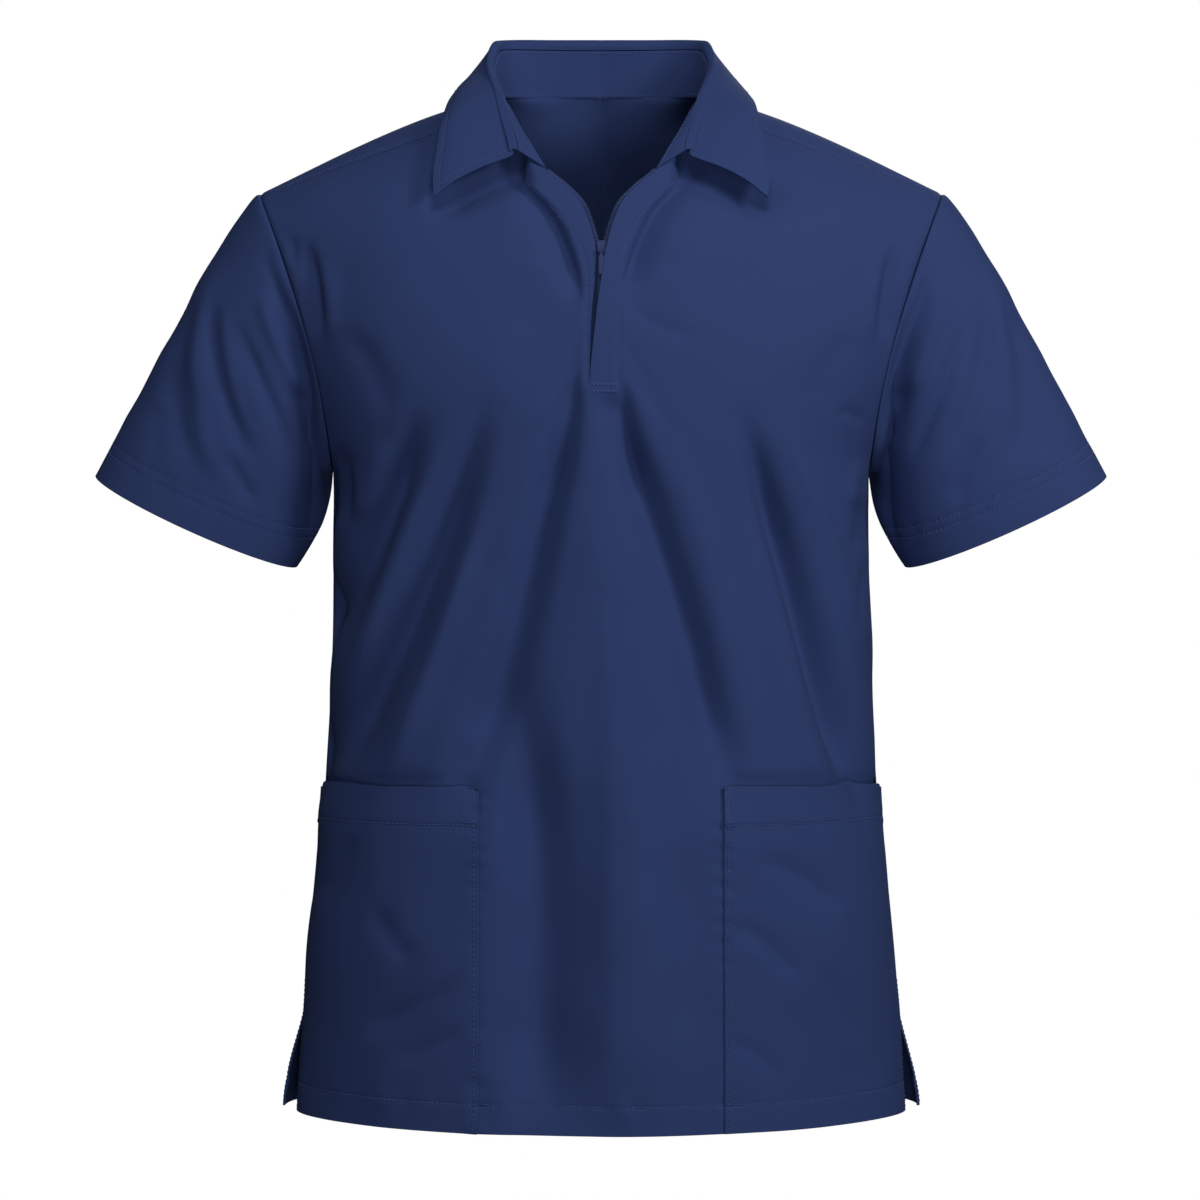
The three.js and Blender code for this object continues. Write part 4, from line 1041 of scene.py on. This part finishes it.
front_right, front_left = front_half(-1), front_half(1)
front_grid = np.concatenate([front_right[:, ::-1], front_left], axis=1)
rows, columns = front_grid.shape[:2]
numbers = np.arange(rows * columns).reshape(rows, columns)
welded = FRONT_ROWS <= 1 + SLIT_BOTTOM + 1e-9
half = columns // 2
numbers[welded, half] = numbers[welded, half - 1]
cells = np.stack([numbers[:-1, :-1], numbers[:-1, 1:], numbers[1:, 1:], numbers[1:, :-1]], -1)
cells = np.delete(cells, half - 1, axis=1).reshape(-1, 4)
used, compact = np.unique(cells, return_inverse=True)
front_points = front_grid.reshape(-1, 3)[used]
front_quads = compact.reshape(-1, 4)
front_uv = flat_uv(front_grid).reshape(-1, 2)[used]
front_behind = np.repeat(hem_layers(FRONT_ROWS, HEM_LINE), columns)[used]
front = mesh_piece(
    "front", *shell(front_points, front_quads, front_uv, SHELL / 2, front_behind), cloth
)
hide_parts("front")
print("front cloth, m2:", round(sheet_area(front_right) + sheet_area(front_left), 4))

# %% [markdown]
# ## The back
#
# Two panels, joined down the centre, that reach over the shoulders to seams in front of them.
# They are built like the front's halves; only the tables differ.

# %% Back panels
BACK_ROWS = np.unique(np.concatenate([
    LOWER_ROWS,
    np.linspace(1, 1 + BACK_NECK, 56),
    np.linspace(1 + BACK_NECK, 2, 30),
    [2 - 0.004, 2 - 0.012],
]))
BACK_COLUMNS = columns_of(HALF_WIDTH, 2.9, 2.9, 6)


def back_panel(side):
    h, t = np.meshgrid(BACK_ROWS, BACK_COLUMNS, indexing="ij")
    weight = smooth(h, 0.7, 0.95) * (1 - smooth(h, 1.25, 1.6)) * smooth(t, 0, 0.2)
    neck = smooth(h, 1.55, 1.72) * (1 - smooth(h, 1.8, 1.97)) * smooth(t, 0, 0.06)
    grid = relax(back_base(h, side, t), np.maximum(weight, neck))
    n = grid_normals(grid, -side)
    grid = grid - n * back_depth(grid, h, t)[..., None]
    grid = seam_roll(grid, n, edge_distance(grid))
    centre = edge_distance(grid[:, ::-1])[:, ::-1]
    low = (BACK_ROWS <= 1 + BACK_NECK)[:, None] * 1.0
    grid = grid - n * (0.8 * np.exp(-((centre / 1.8) ** 2)) * low)[..., None]
    return grid[:, ::-1] if side > 0 else grid


for name, side in (("back_left", 1), ("back_right", -1)):
    grid = back_panel(side)
    behind = np.repeat(hem_layers(BACK_ROWS, HEM_LINE), grid.shape[1])
    sheet_piece(name, grid, SHELL / 2, behind, cloth)


# %% [markdown]
# ## Patch pockets
#
# A patch pocket is a flat piece laid on the front and sewn down at its sides and hem, so it must
# repeat the front's folds exactly. It is made from the front's own surface, moved out by the
# thickness of the cloth, and its mouth stands a little off the body.

# %% Pockets
MOUTH_DROP = 6.0  # how far the mouth's outer corner lies below its inner one
POCKET_ROWS = np.unique(np.concatenate([
    LOWER_ROWS[LOWER_ROWS < MOUTH_LINE],
    height_of(POCKET_TOP_Z - POCKET_BAND + np.array([-2.2, -1.0, 0, 1.0, 2.2])),
    height_of(POCKET_TOP_Z - np.array([1.3, 0.5, 0])),
]))


def pocket_edge(h):
    """The share of the front's half width where the pocket's inner edge runs."""
    ring = body_ring(HEM_Z + (UNDERARM_Z - HEM_Z) * np.minimum(h, 1))
    return np.arcsin(POCKET_EDGE_X / (ring["half_width"] * (1 + fullness(h) * 0.6))) / (math.pi / 2)


def pocket_lift(h, share):
    mouth = smooth(h, height_of(POCKET_TOP_Z - POCKET_BAND - 60), MOUTH_LINE)
    dip = 0.3 * np.exp(-(((h - BAND_LINE) * LOWER_LENGTH / 1.3) ** 2))
    dip = dip + 0.3 * np.exp(-(((share * POCKET_WIDTH - 2.5) / 1.2) ** 2))
    return CLOTH + SEAM_GAP + mouth * POCKET_LIFT * (0.3 + 0.7 * np.sin(np.pi * share)) - dip


def pocket_surface(h, side, share, offset=0.0):
    """The front's surface moved out along its folded normal, from small steps along it. The
    mouth drops towards the side seam, so that its outer corner lies in line."""
    h, side, share = np.broadcast_arrays(np.asarray(h, float), side, np.asarray(share, float))
    drop = MOUTH_DROP / LOWER_LENGTH * smooth(share, 0.78, 1)
    h = h - drop * smooth(h, 0.8 * BAND_LINE, BAND_LINE)
    edge = pocket_edge(h)
    t = edge + (1 - edge) * share
    point = front_surface(h, side, t)
    up = front_surface(np.minimum(h + NUDGE, 1), side, t)
    up = up - front_surface(np.maximum(h - NUDGE, 0), side, t)
    out = front_surface(h, side, np.minimum(t + 2 * NUDGE, 1))
    out = out - front_surface(h, side, np.maximum(t - 2 * NUDGE, 0))
    n = np.cross(out, up) * side[..., None]
    n /= np.linalg.norm(n, axis=-1, keepdims=True)
    x, z = seen(point)
    return point + n * (pocket_lift(h, share) + behind_mouth(x, z) + offset)[..., None]


POCKET_SHARES = columns_of(POCKET_WIDTH, 1.8, 2.6, 12)
for name, side in (("pocket_left", 1), ("pocket_right", -1)):
    grid = pocket_surface(POCKET_ROWS[:, None], side, POCKET_SHARES[None, :])
    grid = grid if side > 0 else grid[:, ::-1]
    band = smooth(POCKET_ROWS, BAND_LINE - 0.003, BAND_LINE + 0.003)
    front_wall = np.repeat(SHELL * (0.5 + 0.55 * band), grid.shape[1])
    sheet_piece(name, grid, front_wall, SHELL / 2, cloth)


# %% [markdown]
# ## Sleeves
#
# Each sleeve is a tube from its armhole to a flattened oval cuff. Rows near the cuff are laid at
# fixed distances from it, because the hem and its two rows of stitching keep the same depth all
# round, while the rest of the sleeve is longer on top than underneath.

# %% Sleeves
SLEEVE_ANGLES = np.linspace(0, 360, 176, endpoint=False)
CUFF_STEPS = np.concatenate([
    [0, 0.5, 1.3, 4, 8, 12, 16, 25, 33, 37],
    CUFF_TWIN + np.array([-1.6, -0.8, 0, 0.8, 1.6]),
    CUFF_HEM + np.array([-1.4, -0.7, 0, 0.7, 1.6]),
])
CUFF_STEPS.sort()


sleeve_lengths = sleeve_length(SLEEVE_ANGLES)
upper = np.concatenate([[0, 0.008, 0.02, 0.036], np.linspace(0.055, 0.985, 50)])
upper_w = upper[:, None] * (1 - 40 / sleeve_lengths)[None, :]
cuff_w = 1 - CUFF_STEPS[::-1, None] / sleeve_lengths[None, :]
SLEEVE_W = np.vstack([upper_w, cuff_w])
from_cuff = (1 - SLEEVE_W) * sleeve_lengths
sleeve_behind = SHELL * (0.5 + 0.9 * (1 - smooth(from_cuff, CUFF_HEM - 1.5, CUFF_HEM + 1.5)))
for name, side in (("sleeve_left", 1), ("sleeve_right", -1)):
    grid = sleeve_surface(SLEEVE_W, side, SLEEVE_ANGLES[None, :] + 0 * SLEEVE_W)
    quads = grid_quads(*grid.shape[:2], ring=True)
    n = point_normals(grid.reshape(-1, 3), quads).reshape(grid.shape)
    inside = grid.mean(axis=1, keepdims=True)
    if ((grid - inside) * n).sum() < 0:
        quads, n = quads[:, ::-1], -n
    near = np.linalg.norm(grid - grid[:1], axis=2)
    grid = seam_roll(grid, n, near, 0.8, 1.8)
    closed = np.concatenate([grid, grid[:, :1]], axis=1)
    uv = flat_uv(closed)[:, :-1].reshape(-1, 2)
    girth = float(np.linalg.norm(np.diff(closed, axis=1), axis=2).sum(axis=1).mean())
    behind = sleeve_behind.ravel()
    piece = sheet_piece(name, grid, SHELL / 2, behind, cloth, quads=quads, uv=uv, around=girth)


# %% [markdown]
# ## The collar
#
# A stand rises from the neck seam, and a fall rolls over its top and lies on the shoulders,
# ending in two points. Every station round the neck has a section: up the stand, round a small
# roll, and out along the fall to its edge. A smooth curve through the section's few points gives
# the roll its roundness.

# %% Collar sections
COLLAR_HALF = COLLAR_CLOTH / 2
FOOT_IN, FOOT_DOWN = 0.9, 1.3  # the body's edge lies between the stand's layers


def neck_normal(s):
    """The panels' outward normal along the neck seam: the back's up to the shoulder seam, then
    the front's."""
    share = (1 - s) / (1 - SHOULDER_STATION)
    front_h = np.clip(1 + NECK_CORNER + share * (1 - NECK_CORNER), 1, 2)
    back_h = np.clip(1 + BACK_NECK + s / SHOULDER_STATION * (1 - BACK_NECK), 1, 2)
    front_n = normal_of(front_base, front_h, 1, 0, 1)
    back_n = normal_of(back_base, back_h, 1, 0, -1)
    weight = smooth(s, SHOULDER_STATION - 0.03, SHOULDER_STATION + 0.03)[..., None]
    return unit(front_n * weight + back_n * (1 - weight))


def curve_through(points, samples):
    """A Catmull-Rom curve through points[0..n-1] along the first axis, at each of the samples,
    which count in points."""
    first, last = 2 * points[:1] - points[1:2], 2 * points[-1:] - points[-2:-1]
    padded = np.concatenate([first, points, last])
    i = np.clip(samples.astype(int), 0, len(points) - 2)
    t = (samples - i)[:, None, None]
    a, b, c, d = padded[i], padded[i + 1], padded[i + 2], padded[i + 3]
    return 0.5 * (
        2 * b + (c - a) * t + (2 * a - 5 * b + 4 * c - d) * t**2 + (3 * b - a - 3 * c + d) * t**3
    )


def collar_sections(s):
    """The ten points of each station's section, as an array of points by stations."""
    side = np.where(s < 0, -1.0, 1.0)
    mirror = stack(side, 1, 1)
    row = collar_station(np.abs(s))
    neck, roll, edge = (stack(row[p + "x"], row[p + "y"], row[p + "z"]) * mirror for p in "nre")
    normal = neck_normal(np.abs(s)) * mirror
    slope = (normal * unit(roll - neck)).sum(-1, keepdims=True)
    neck = neck + normal * (CLOTH / 2 + SEAM_GAP + COLLAR_HALF * np.sqrt(1 - slope**2))
    rise = roll - neck
    length = np.linalg.norm(rise, axis=-1, keepdims=True)
    rise = rise / length
    out = edge - roll
    fall = np.linalg.norm(out, axis=-1, keepdims=True)
    away = unit(out - rise * (out * rise).sum(-1, keepdims=True))
    seam = np.minimum(length * STAND_SHARE, length - 1.7 * ROLL_RADIUS)
    inside = neck + rise * (length - ROLL_RADIUS)
    top = neck + rise * (length + 0.4) + away * ROLL_RADIUS
    outside = inside + away * 2.2 * ROLL_RADIUS
    bulge = away * 0.04 * fall + np.concatenate([0 * fall, 0 * fall, 0.07 * fall], -1)
    foot = neck - normal * FOOT_IN - rise * FOOT_DOWN
    return np.stack([
        foot,
        neck + rise * seam / 2,
        neck + rise * (seam - STAND_GAP / 2),
        neck + rise * (seam + STAND_GAP / 2),
        inside,
        top,
        outside,
        outside + (edge - outside) * 0.35 + bulge * 0.8,
        outside + (edge - outside) * 0.7 + bulge * 0.9,
        edge,
    ])


STATIONS = np.unique(np.concatenate([np.linspace(-1, 1, 301), [-0.997, -0.99, 0.99, 0.997]]))
sections = collar_sections(STATIONS)
stand_grid = curve_through(sections[:3], np.linspace(0, 2, 26))
fall_steps = np.unique(np.concatenate([
    np.linspace(0, 3, 30), np.linspace(3, 6, 46), [5.95, 5.985],
]))
fall_grid = curve_through(sections[3:], fall_steps)

# %% Soften the fall and build both
NECK_MIDDLE = np.array([0, 0, 20.0])


def facing_normals(grid, hint):
    """A grid's normals, all turned over if they disagree with a hint of where its face looks."""
    n = point_normals(grid.reshape(-1, 3), grid_quads(*grid.shape[:2])).reshape(grid.shape)
    return n if (n * hint).sum() > 0 else -n


# The fall's face looks up where it lies on the shoulders, three quarters of the way out.
lying = np.zeros_like(fall_grid)
lying[len(fall_steps) * 3 // 4, :, 2] = 1
fall_n = facing_normals(fall_grid, lying)
loose = smooth(fall_steps, 3.2, 4.6)[:, None] * np.ones(len(STATIONS))
waves = unevenness(fall_grid[..., 0] * 1.2, fall_grid[..., 1], 46, 31)
ripple = unevenness(STATIONS[None, :] * 300, fall_steps[:, None] * 4, 17, 33)
lifted = loose * (0.45 * waves + 0.6 + 0.12 * ripple)
rim = np.minimum(edge_distance(fall_grid.transpose(1, 0, 2)).T, 99)
stitch_dip = 0.35 * np.exp(-(((rim - 6) / 1.4) ** 2)) * smooth(fall_steps, 3, 3.5)[:, None]
fall_grid = fall_grid + fall_n * (lifted - stitch_dip)[..., None]


def collar_piece(name, grid, hint):
    quads = grid_quads(*grid.shape[:2])
    if (point_normals(grid.reshape(-1, 3), quads) * hint.reshape(-1, 3)).sum() < 0:
        quads = quads[:, ::-1]
    half = COLLAR_HALF - 0.1
    return sheet_piece(name, grid, half, half, cloth, quads=quads)


collar_stand = collar_piece("collar_stand", stand_grid, stand_grid - NECK_MIDDLE)
collar_fall = collar_piece("collar_fall", fall_grid, fall_n)


# %% [markdown]
# ## The zip
#
# A moulded zip: a woven tape behind each edge of the slit, with a row of small teeth along its
# inner edge. Under the slider the rows mesh; above it they part along the neck's V. Each tooth is
# the same small wedge with a rounded head, placed by its tape's edge, outward and along it.

# %% Tapes
TAPE, TAPE_WIDTH, TAPE_GAP, TAPE_SHOW = 0.8, 9.0, 0.5, 2.3
TAPE_DEPTH = CLOTH / 2 + SEAM_GAP + TAPE / 2 + 0.05


def flat_front(h, side, t):
    return front_base(h, side, t, 0.0)


def tape_frame(h, side):
    """The tape's inner edge with its directions: across the tape and out of its face."""
    edge = flat_front(h, side, 0 * h)
    column = pocket_edge(np.minimum(h, 1)) / 4
    across = unit(flat_front(h, side, column) - edge)
    normal = normal_of(flat_front, h, side, column / 2, 1)
    closed = smooth(-h, -(1 + SLIDER_ROW + 0.03), -(1 + SLIDER_ROW))
    start = closed * (TAPE_GAP / 2 - (edge[..., 0] - ZIP_X) * side) - (1 - closed) * TAPE_SHOW
    return edge + across * start[..., None] - normal * TAPE_DEPTH, across, normal


tape_heights = np.linspace(1 + SLIT_BOTTOM, 1 + NECK_CORNER, 70)
tape_edges = {}
for name, side in (("zip_tape_left", 1), ("zip_tape_right", -1)):
    edge, across, normal = tape_frame(tape_heights, side)
    shares = np.array([0, 0.08, 0.3, 0.6, 0.9, 1.0]) * TAPE_WIDTH
    grid = edge[:, None] + across[:, None] * shares[None, :, None]
    grid = grid if side > 0 else grid[:, ::-1]
    half = TAPE / 2 - 0.1
    sheet_piece(name, grid, half, half, tape_with_painted_shade, slot="zip_tape")
    tape_edges[side] = (edge, across, normal)


# %% Teeth
TOOTH_PITCH, TOOTH_LONG, TOOTH_REACH = 1.7, 1.15, 1.0


def teeth(name, side):
    """Wedges along a tape's edge: each section of the wedge is an eight-cornered ring that
    narrows towards the head, from inside the tape out past its edge."""
    edge, across, normal = tape_edges[side]
    run = running(edge)
    count = int(run[-1] / TOOTH_PITCH)
    place = (np.arange(count) + (0.75 if side > 0 else 0.25)) * TOOTH_PITCH
    at, out, face = (along_line(place, run, values) for values in (edge, across, normal))
    out, face = unit(out), unit(face)
    reach, wide, thick = np.array([
        [2.2, 2.2, 0.4, -0.5, -TOOTH_REACH, -TOOTH_REACH],
        [0.6, 1.0, 0.9, 0.62, 0.5, 0.2],
        [0.5, 0.8, 0.85, 0.85, 0.7, 0.35],
    ])
    centres = at[:, None] + out[:, None] * reach[:, None]
    turn = np.radians(np.arange(8) * 45 + 22.5)
    points = rings(centres, unit(np.cross(out, face)), face, turn, wide * TOOTH_LONG / 2, thick)
    caps = np.array([[0, 1, 2, 3], [0, 3, 4, 7], [4, 5, 6, 7]])
    one = np.vstack([grid_quads(6, 8, ring=True), caps[:, ::-1], caps + 40])
    faces = repeated(one, points, count)
    mesh_piece(name, points, faces, points[:, [0, 2]], teeth_plastic, slot="zip_tape")


teeth("zip_teeth_left", 1)
teeth("zip_teeth_right", -1)

# %% Slider and pull tab
for name in ("zip_slider", "zip_pull"):
    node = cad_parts[name]
    node.data.materials.clear()
    node.data.materials.append(painted)


# %% [markdown]
# ## All the stitch lines
#
# Sewing is what tells cloth pieces from moulded ones, so every line the garment shows is traced
# on the surfaces themselves: hems, the fly with the bar across its end, the pockets with their
# corner boxes, the twin rows on the sleeves, the collar's edge, the stand's seams and the vents.

# %% Lines on the body
LIFT = SHELL / 2 + 0.1


def mm_up(z_from_hem):
    return z_from_hem / LOWER_LENGTH


def seen_line(points, side, count=160):
    """A line on the front through seen places (x, z): for each height up the panel, the share
    where the surface is seen at the line's x."""
    path = np.array(points, float)
    run = running(path)
    at = np.linspace(0, run[-1], count)
    x, z = np.interp(at, run, path[:, 0]), np.interp(at, run, path[:, 1])
    h, t = np.full(count, 1.5), np.full(count, 0.05)
    for _ in range(8):
        sx, sz = seen(front_surface(h, side, t))
        hx, hz = seen(front_surface(h + NUDGE, side, t))
        tx, tz = seen(front_surface(h, side, t + NUDGE))
        a, b, c, d = (step / NUDGE for step in (hx - sx, tx - sx, hz - sz, tz - sz))
        det = np.where(np.abs(a * d - b * c) < 1e-6, 1, a * d - b * c)
        h = np.clip(h + np.clip(((x - sx) * d - b * (z - sz)) / det, -0.2, 0.2), 0, 1.99)
        t = np.clip(t + np.clip((a * (z - sz) - c * (x - sx)) / det, -0.2, 0.2), 0, 0.99)
    return traced(front_surface, h, side, t, LIFT)


fly_lines = [seen_line(np.array(FLY_LINES[side], float)[:, ::-1], side) for side in (-1, 1)]
front_stitches = sew("stitches_fly", fly_lines)

BAR_ROWS = (-208.8, -209.6, -214.1, -214.9)  # the seen heights of the box below the zip
BAR_ENDS = {-1: [(-10.6, -209), (-10.4, -214.7)], 1: [(12.4, -209), (12.4, -214.7)]}
bar_lines = [seen_line([(-7.2, z), (12.4, z)], 1, 20) for z in BAR_ROWS]
bar_lines += [seen_line(BAR_ENDS[side], side, 8) for side in (-1, 1)]
bar_stitches = sew("stitches_bar", bar_lines, radius=0.36, step=2.6)

inner_share = float(pocket_edge(np.array(HEM_LINE)))
across = np.linspace(0, 1, 400)
HEM_SPANS = [  # of each panel along the hem: where its row starts, and how far it goes
    (front_surface, 0.001, inner_share - 0.004),
    (pocket_surface, 0.006, 0.985),
    (back_surface, 0.01, 0.98),
]
sew("stitches_hem", [
    traced(surface, HEM_LINE, side, start + across * span, LIFT)
    for side in (-1, 1) for surface, start, span in HEM_SPANS
])

pocket_lines = []
for side in (-1, 1):
    edge, box = 2.5 / POCKET_WIDTH, 9.5 / POCKET_WIDTH
    up = np.linspace(mm_up(1.5), MOUTH_LINE - mm_up(1.5), 300)
    corner = np.linspace(MOUTH_LINE - mm_up(25), MOUTH_LINE - mm_up(1.5), 40)
    short = np.linspace(edge, box, 12)
    band_share, band_lift = edge + across * (0.99 - edge), SHELL * 0.78 + 0.1
    pocket_lines.append(traced(pocket_surface, up, side, edge, LIFT + 0.25))
    pocket_lines.append(traced(pocket_surface, corner, side, box, SHELL * 1.05 + 0.1))
    pocket_lines.append(traced(pocket_surface, corner[0], side, short, SHELL + 0.1))
    pocket_lines.append(traced(pocket_surface, BAND_LINE, side, band_share, band_lift))
sew("stitches_pockets", pocket_lines)

other_lines = []
vent = np.linspace(mm_up(1.5), mm_up(VENT_TOP_Z - HEM_Z + 4), 120)
for side in (-1, 1):
    inset = 1 - 6 / HALF_WIDTH
    other_lines.append(traced(pocket_surface, vent, side, 1 - 6 / POCKET_WIDTH, LIFT - 0.2))
    other_lines.append(traced(back_surface, vent, side, inset, LIFT - 0.2))
    other_lines.append(traced(back_surface, 1.992, side, 0.02 + across * 0.95, LIFT))
other_lines.append(traced(back_surface, np.linspace(0.004, 1.715, 700), 1, 3.2 / HALF_WIDTH, LIFT))
sew("stitches_seams", other_lines)

# %% Lines on the sleeves and the collar
sleeve_lines = []
turn = np.linspace(0, 360, 500)
for side in (-1, 1):
    for back_from in (CUFF_HEM, CUFF_TWIN):
        w = 1 - back_from / sleeve_length(turn)
        sleeve_lines.append(traced(sleeve_surface, w, side, turn, LIFT))
sew("stitches_sleeves", sleeve_lines)


def on_grid(grid, normals, r, c, lift):
    """Places on a grid at fractional rows and columns, bilinear, moved out along the normals."""
    r, c = np.broadcast_arrays(np.asarray(r, float), np.asarray(c, float))
    i = np.clip(r.astype(int), 0, grid.shape[0] - 2)
    j = np.clip(c.astype(int), 0, grid.shape[1] - 2)
    u, v = (r - i)[:, None], (c - j)[:, None]

    def at(values):
        low = values[i, j] * (1 - v) + values[i, j + 1] * v
        high = values[i + 1, j] * (1 - v) + values[i + 1, j + 1] * v
        return low * (1 - u) + high * u

    n = unit(at(normals))
    return at(grid) + n * lift, n


def column_at(distance, wanted):
    """For each row, the fractional column whose distance from the far end is the wanted one."""
    count = distance.shape[1]
    return np.array([np.interp(wanted, row[::-1], np.arange(count)[::-1]) for row in distance])


fall_n = facing_normals(fall_grid, lying)
INSET = 6.0
last_row = len(fall_steps) - 1
to_right = edge_distance(fall_grid)
to_left = edge_distance(fall_grid[:, ::-1])
right_end = column_at(to_right, INSET)
left_end = len(STATIONS) - 1 - column_at(to_left, INSET)
to_edge = edge_distance(fall_grid.transpose(1, 0, 2))
edge_row = column_at(to_edge, INSET)
crest = int(np.searchsorted(fall_steps, 2.3))
collar_lines = []
for ends in (right_end, left_end):
    corner_row = np.interp(ends[-1], np.arange(len(STATIONS)), edge_row)
    r = np.linspace(crest, corner_row, 90)
    c = np.interp(r, np.arange(last_row + 1), ends)
    collar_lines.append(on_grid(fall_grid, fall_n, r, c, COLLAR_HALF))
c = np.linspace(left_end[-1], right_end[-1], 900)
r = np.interp(c, np.arange(len(STATIONS)), edge_row)
collar_lines.append(on_grid(fall_grid, fall_n, r, c, COLLAR_HALF))
stand_n = facing_normals(stand_grid, NECK_MIDDLE - stand_grid)
c = np.linspace(3, len(STATIONS) - 4, 700)
for r in (1.6, 23.6):
    collar_lines.append(on_grid(stand_grid, stand_n, r + 0 * c, c, COLLAR_HALF))
sew("stitches_collar", collar_lines)


# %% [markdown]


# %% [markdown]
# ## Stage, light and camera
#
# The photo is a cut-out on white: no floor line and no shadow. The floor here is far below the
# hem, and both it and the world are plain white to the camera but dim as light, so that the
# garment's sides still darken as they do in the photo. The light comes from soft lamps: a strong
# one from the viewer's right, a weaker one from high on the left, one raking down from above so
# that the folds show, a low one that opens the shade, and one behind.

# %% Floor and world
def white_to_camera(tree, out_socket, dim, kind):
    """Mixes plain white for camera rays with a dim grey for all others."""
    path = tree.nodes.new("ShaderNodeLightPath")
    mix = tree.nodes.new("ShaderNodeMixShader")
    white = tree.nodes.new(kind)
    grey = tree.nodes.new(kind)
    white.inputs["Color"].default_value = (1, 1, 1, 1)
    white.inputs["Strength"].default_value = 1.0
    grey.inputs["Color"].default_value = (0.93, 0.96, 1, 1)
    grey.inputs["Strength"].default_value = dim
    tree.links.new(path.outputs["Is Camera Ray"], mix.inputs[0])
    tree.links.new(grey.outputs[0], mix.inputs[1])
    tree.links.new(white.outputs[0], mix.inputs[2])
    tree.links.new(mix.outputs[0], out_socket)


floor_mesh = bpy.data.meshes.new("floor")
FLOOR_HALF, FLOOR_Z = 6, -1.05
square = ((-1, -1), (1, -1), (1, 1), (-1, 1))
corners = [(FLOOR_HALF * x, FLOOR_HALF * y, FLOOR_Z) for x, y in square]
floor_mesh.from_pydata(corners, [], [(0, 1, 2, 3)])
floor = bpy.data.objects.new("floor", floor_mesh)
bpy.context.scene.collection.objects.link(floor)
floor_material = bpy.data.materials.new("white floor")
floor_material.use_nodes = True
floor_tree = floor_material.node_tree
floor_tree.nodes.remove(floor_tree.nodes["Principled BSDF"])
white_to_camera(
    floor_tree, floor_tree.nodes["Material Output"].inputs["Surface"], 0.02, "ShaderNodeEmission"
)
floor_mesh.materials.append(floor_material)

world = bpy.data.worlds.new("white studio")
bpy.context.scene.world = world
world.use_nodes = True
world.node_tree.nodes.clear()
world_out = world.node_tree.nodes.new("ShaderNodeOutputWorld")
white_to_camera(world.node_tree, world_out.inputs["Surface"], 0.02, "ShaderNodeBackground")


# %% Lamps and camera
def lamp(name, place, target, size, power, colour=(1, 1, 1)):
    data = bpy.data.lights.new(name, "AREA")
    data.shape = "DISK"
    data.size = size
    data.energy = power
    data.color = colour
    lamp_object = bpy.data.objects.new(name, data)
    bpy.context.scene.collection.objects.link(lamp_object)
    lamp_object.location = place
    x, y, z = (t - p for t, p in zip(target, place))
    flat = math.hypot(x, y)
    lamp_object.rotation_euler = (math.atan2(flat, -z), 0, math.atan2(-x, y))


MIDDLE = (0, 0, -0.38)
lamp("right", (1.53, -1.28, 0.55), MIDDLE, 0.6, 15.4)
lamp("left", (-2.48, -1.43, 1.27), MIDDLE, 0.8, 9.2)
lamp("above", (0.1, -1.15, 1.0), MIDDLE, 0.6, 6.4)
lamp("low", (0.2, -2.35, -0.8), MIDDLE, 0.6, 11)
lamp("back", (0.4, 2.6, 1.4), (0, 0, -0.3), 1.6, 26)

LENS, CAMERA_X = 96.64, -0.000745  # together they frame the garment as the photo does
camera_data = bpy.data.cameras.new("camera")
camera_data.lens = LENS
camera_data.sensor_width = 36
camera_data.clip_end = 50
camera = bpy.data.objects.new("camera", camera_data)
bpy.context.scene.collection.objects.link(camera)
camera.location = (CAMERA_X, -CAMERA_BACK * MM, CAMERA_Z * MM)
camera.rotation_euler = (math.pi / 2, 0, 0)
bpy.context.scene.camera = camera
bpy.context.scene.view_settings.view_transform = "Standard"
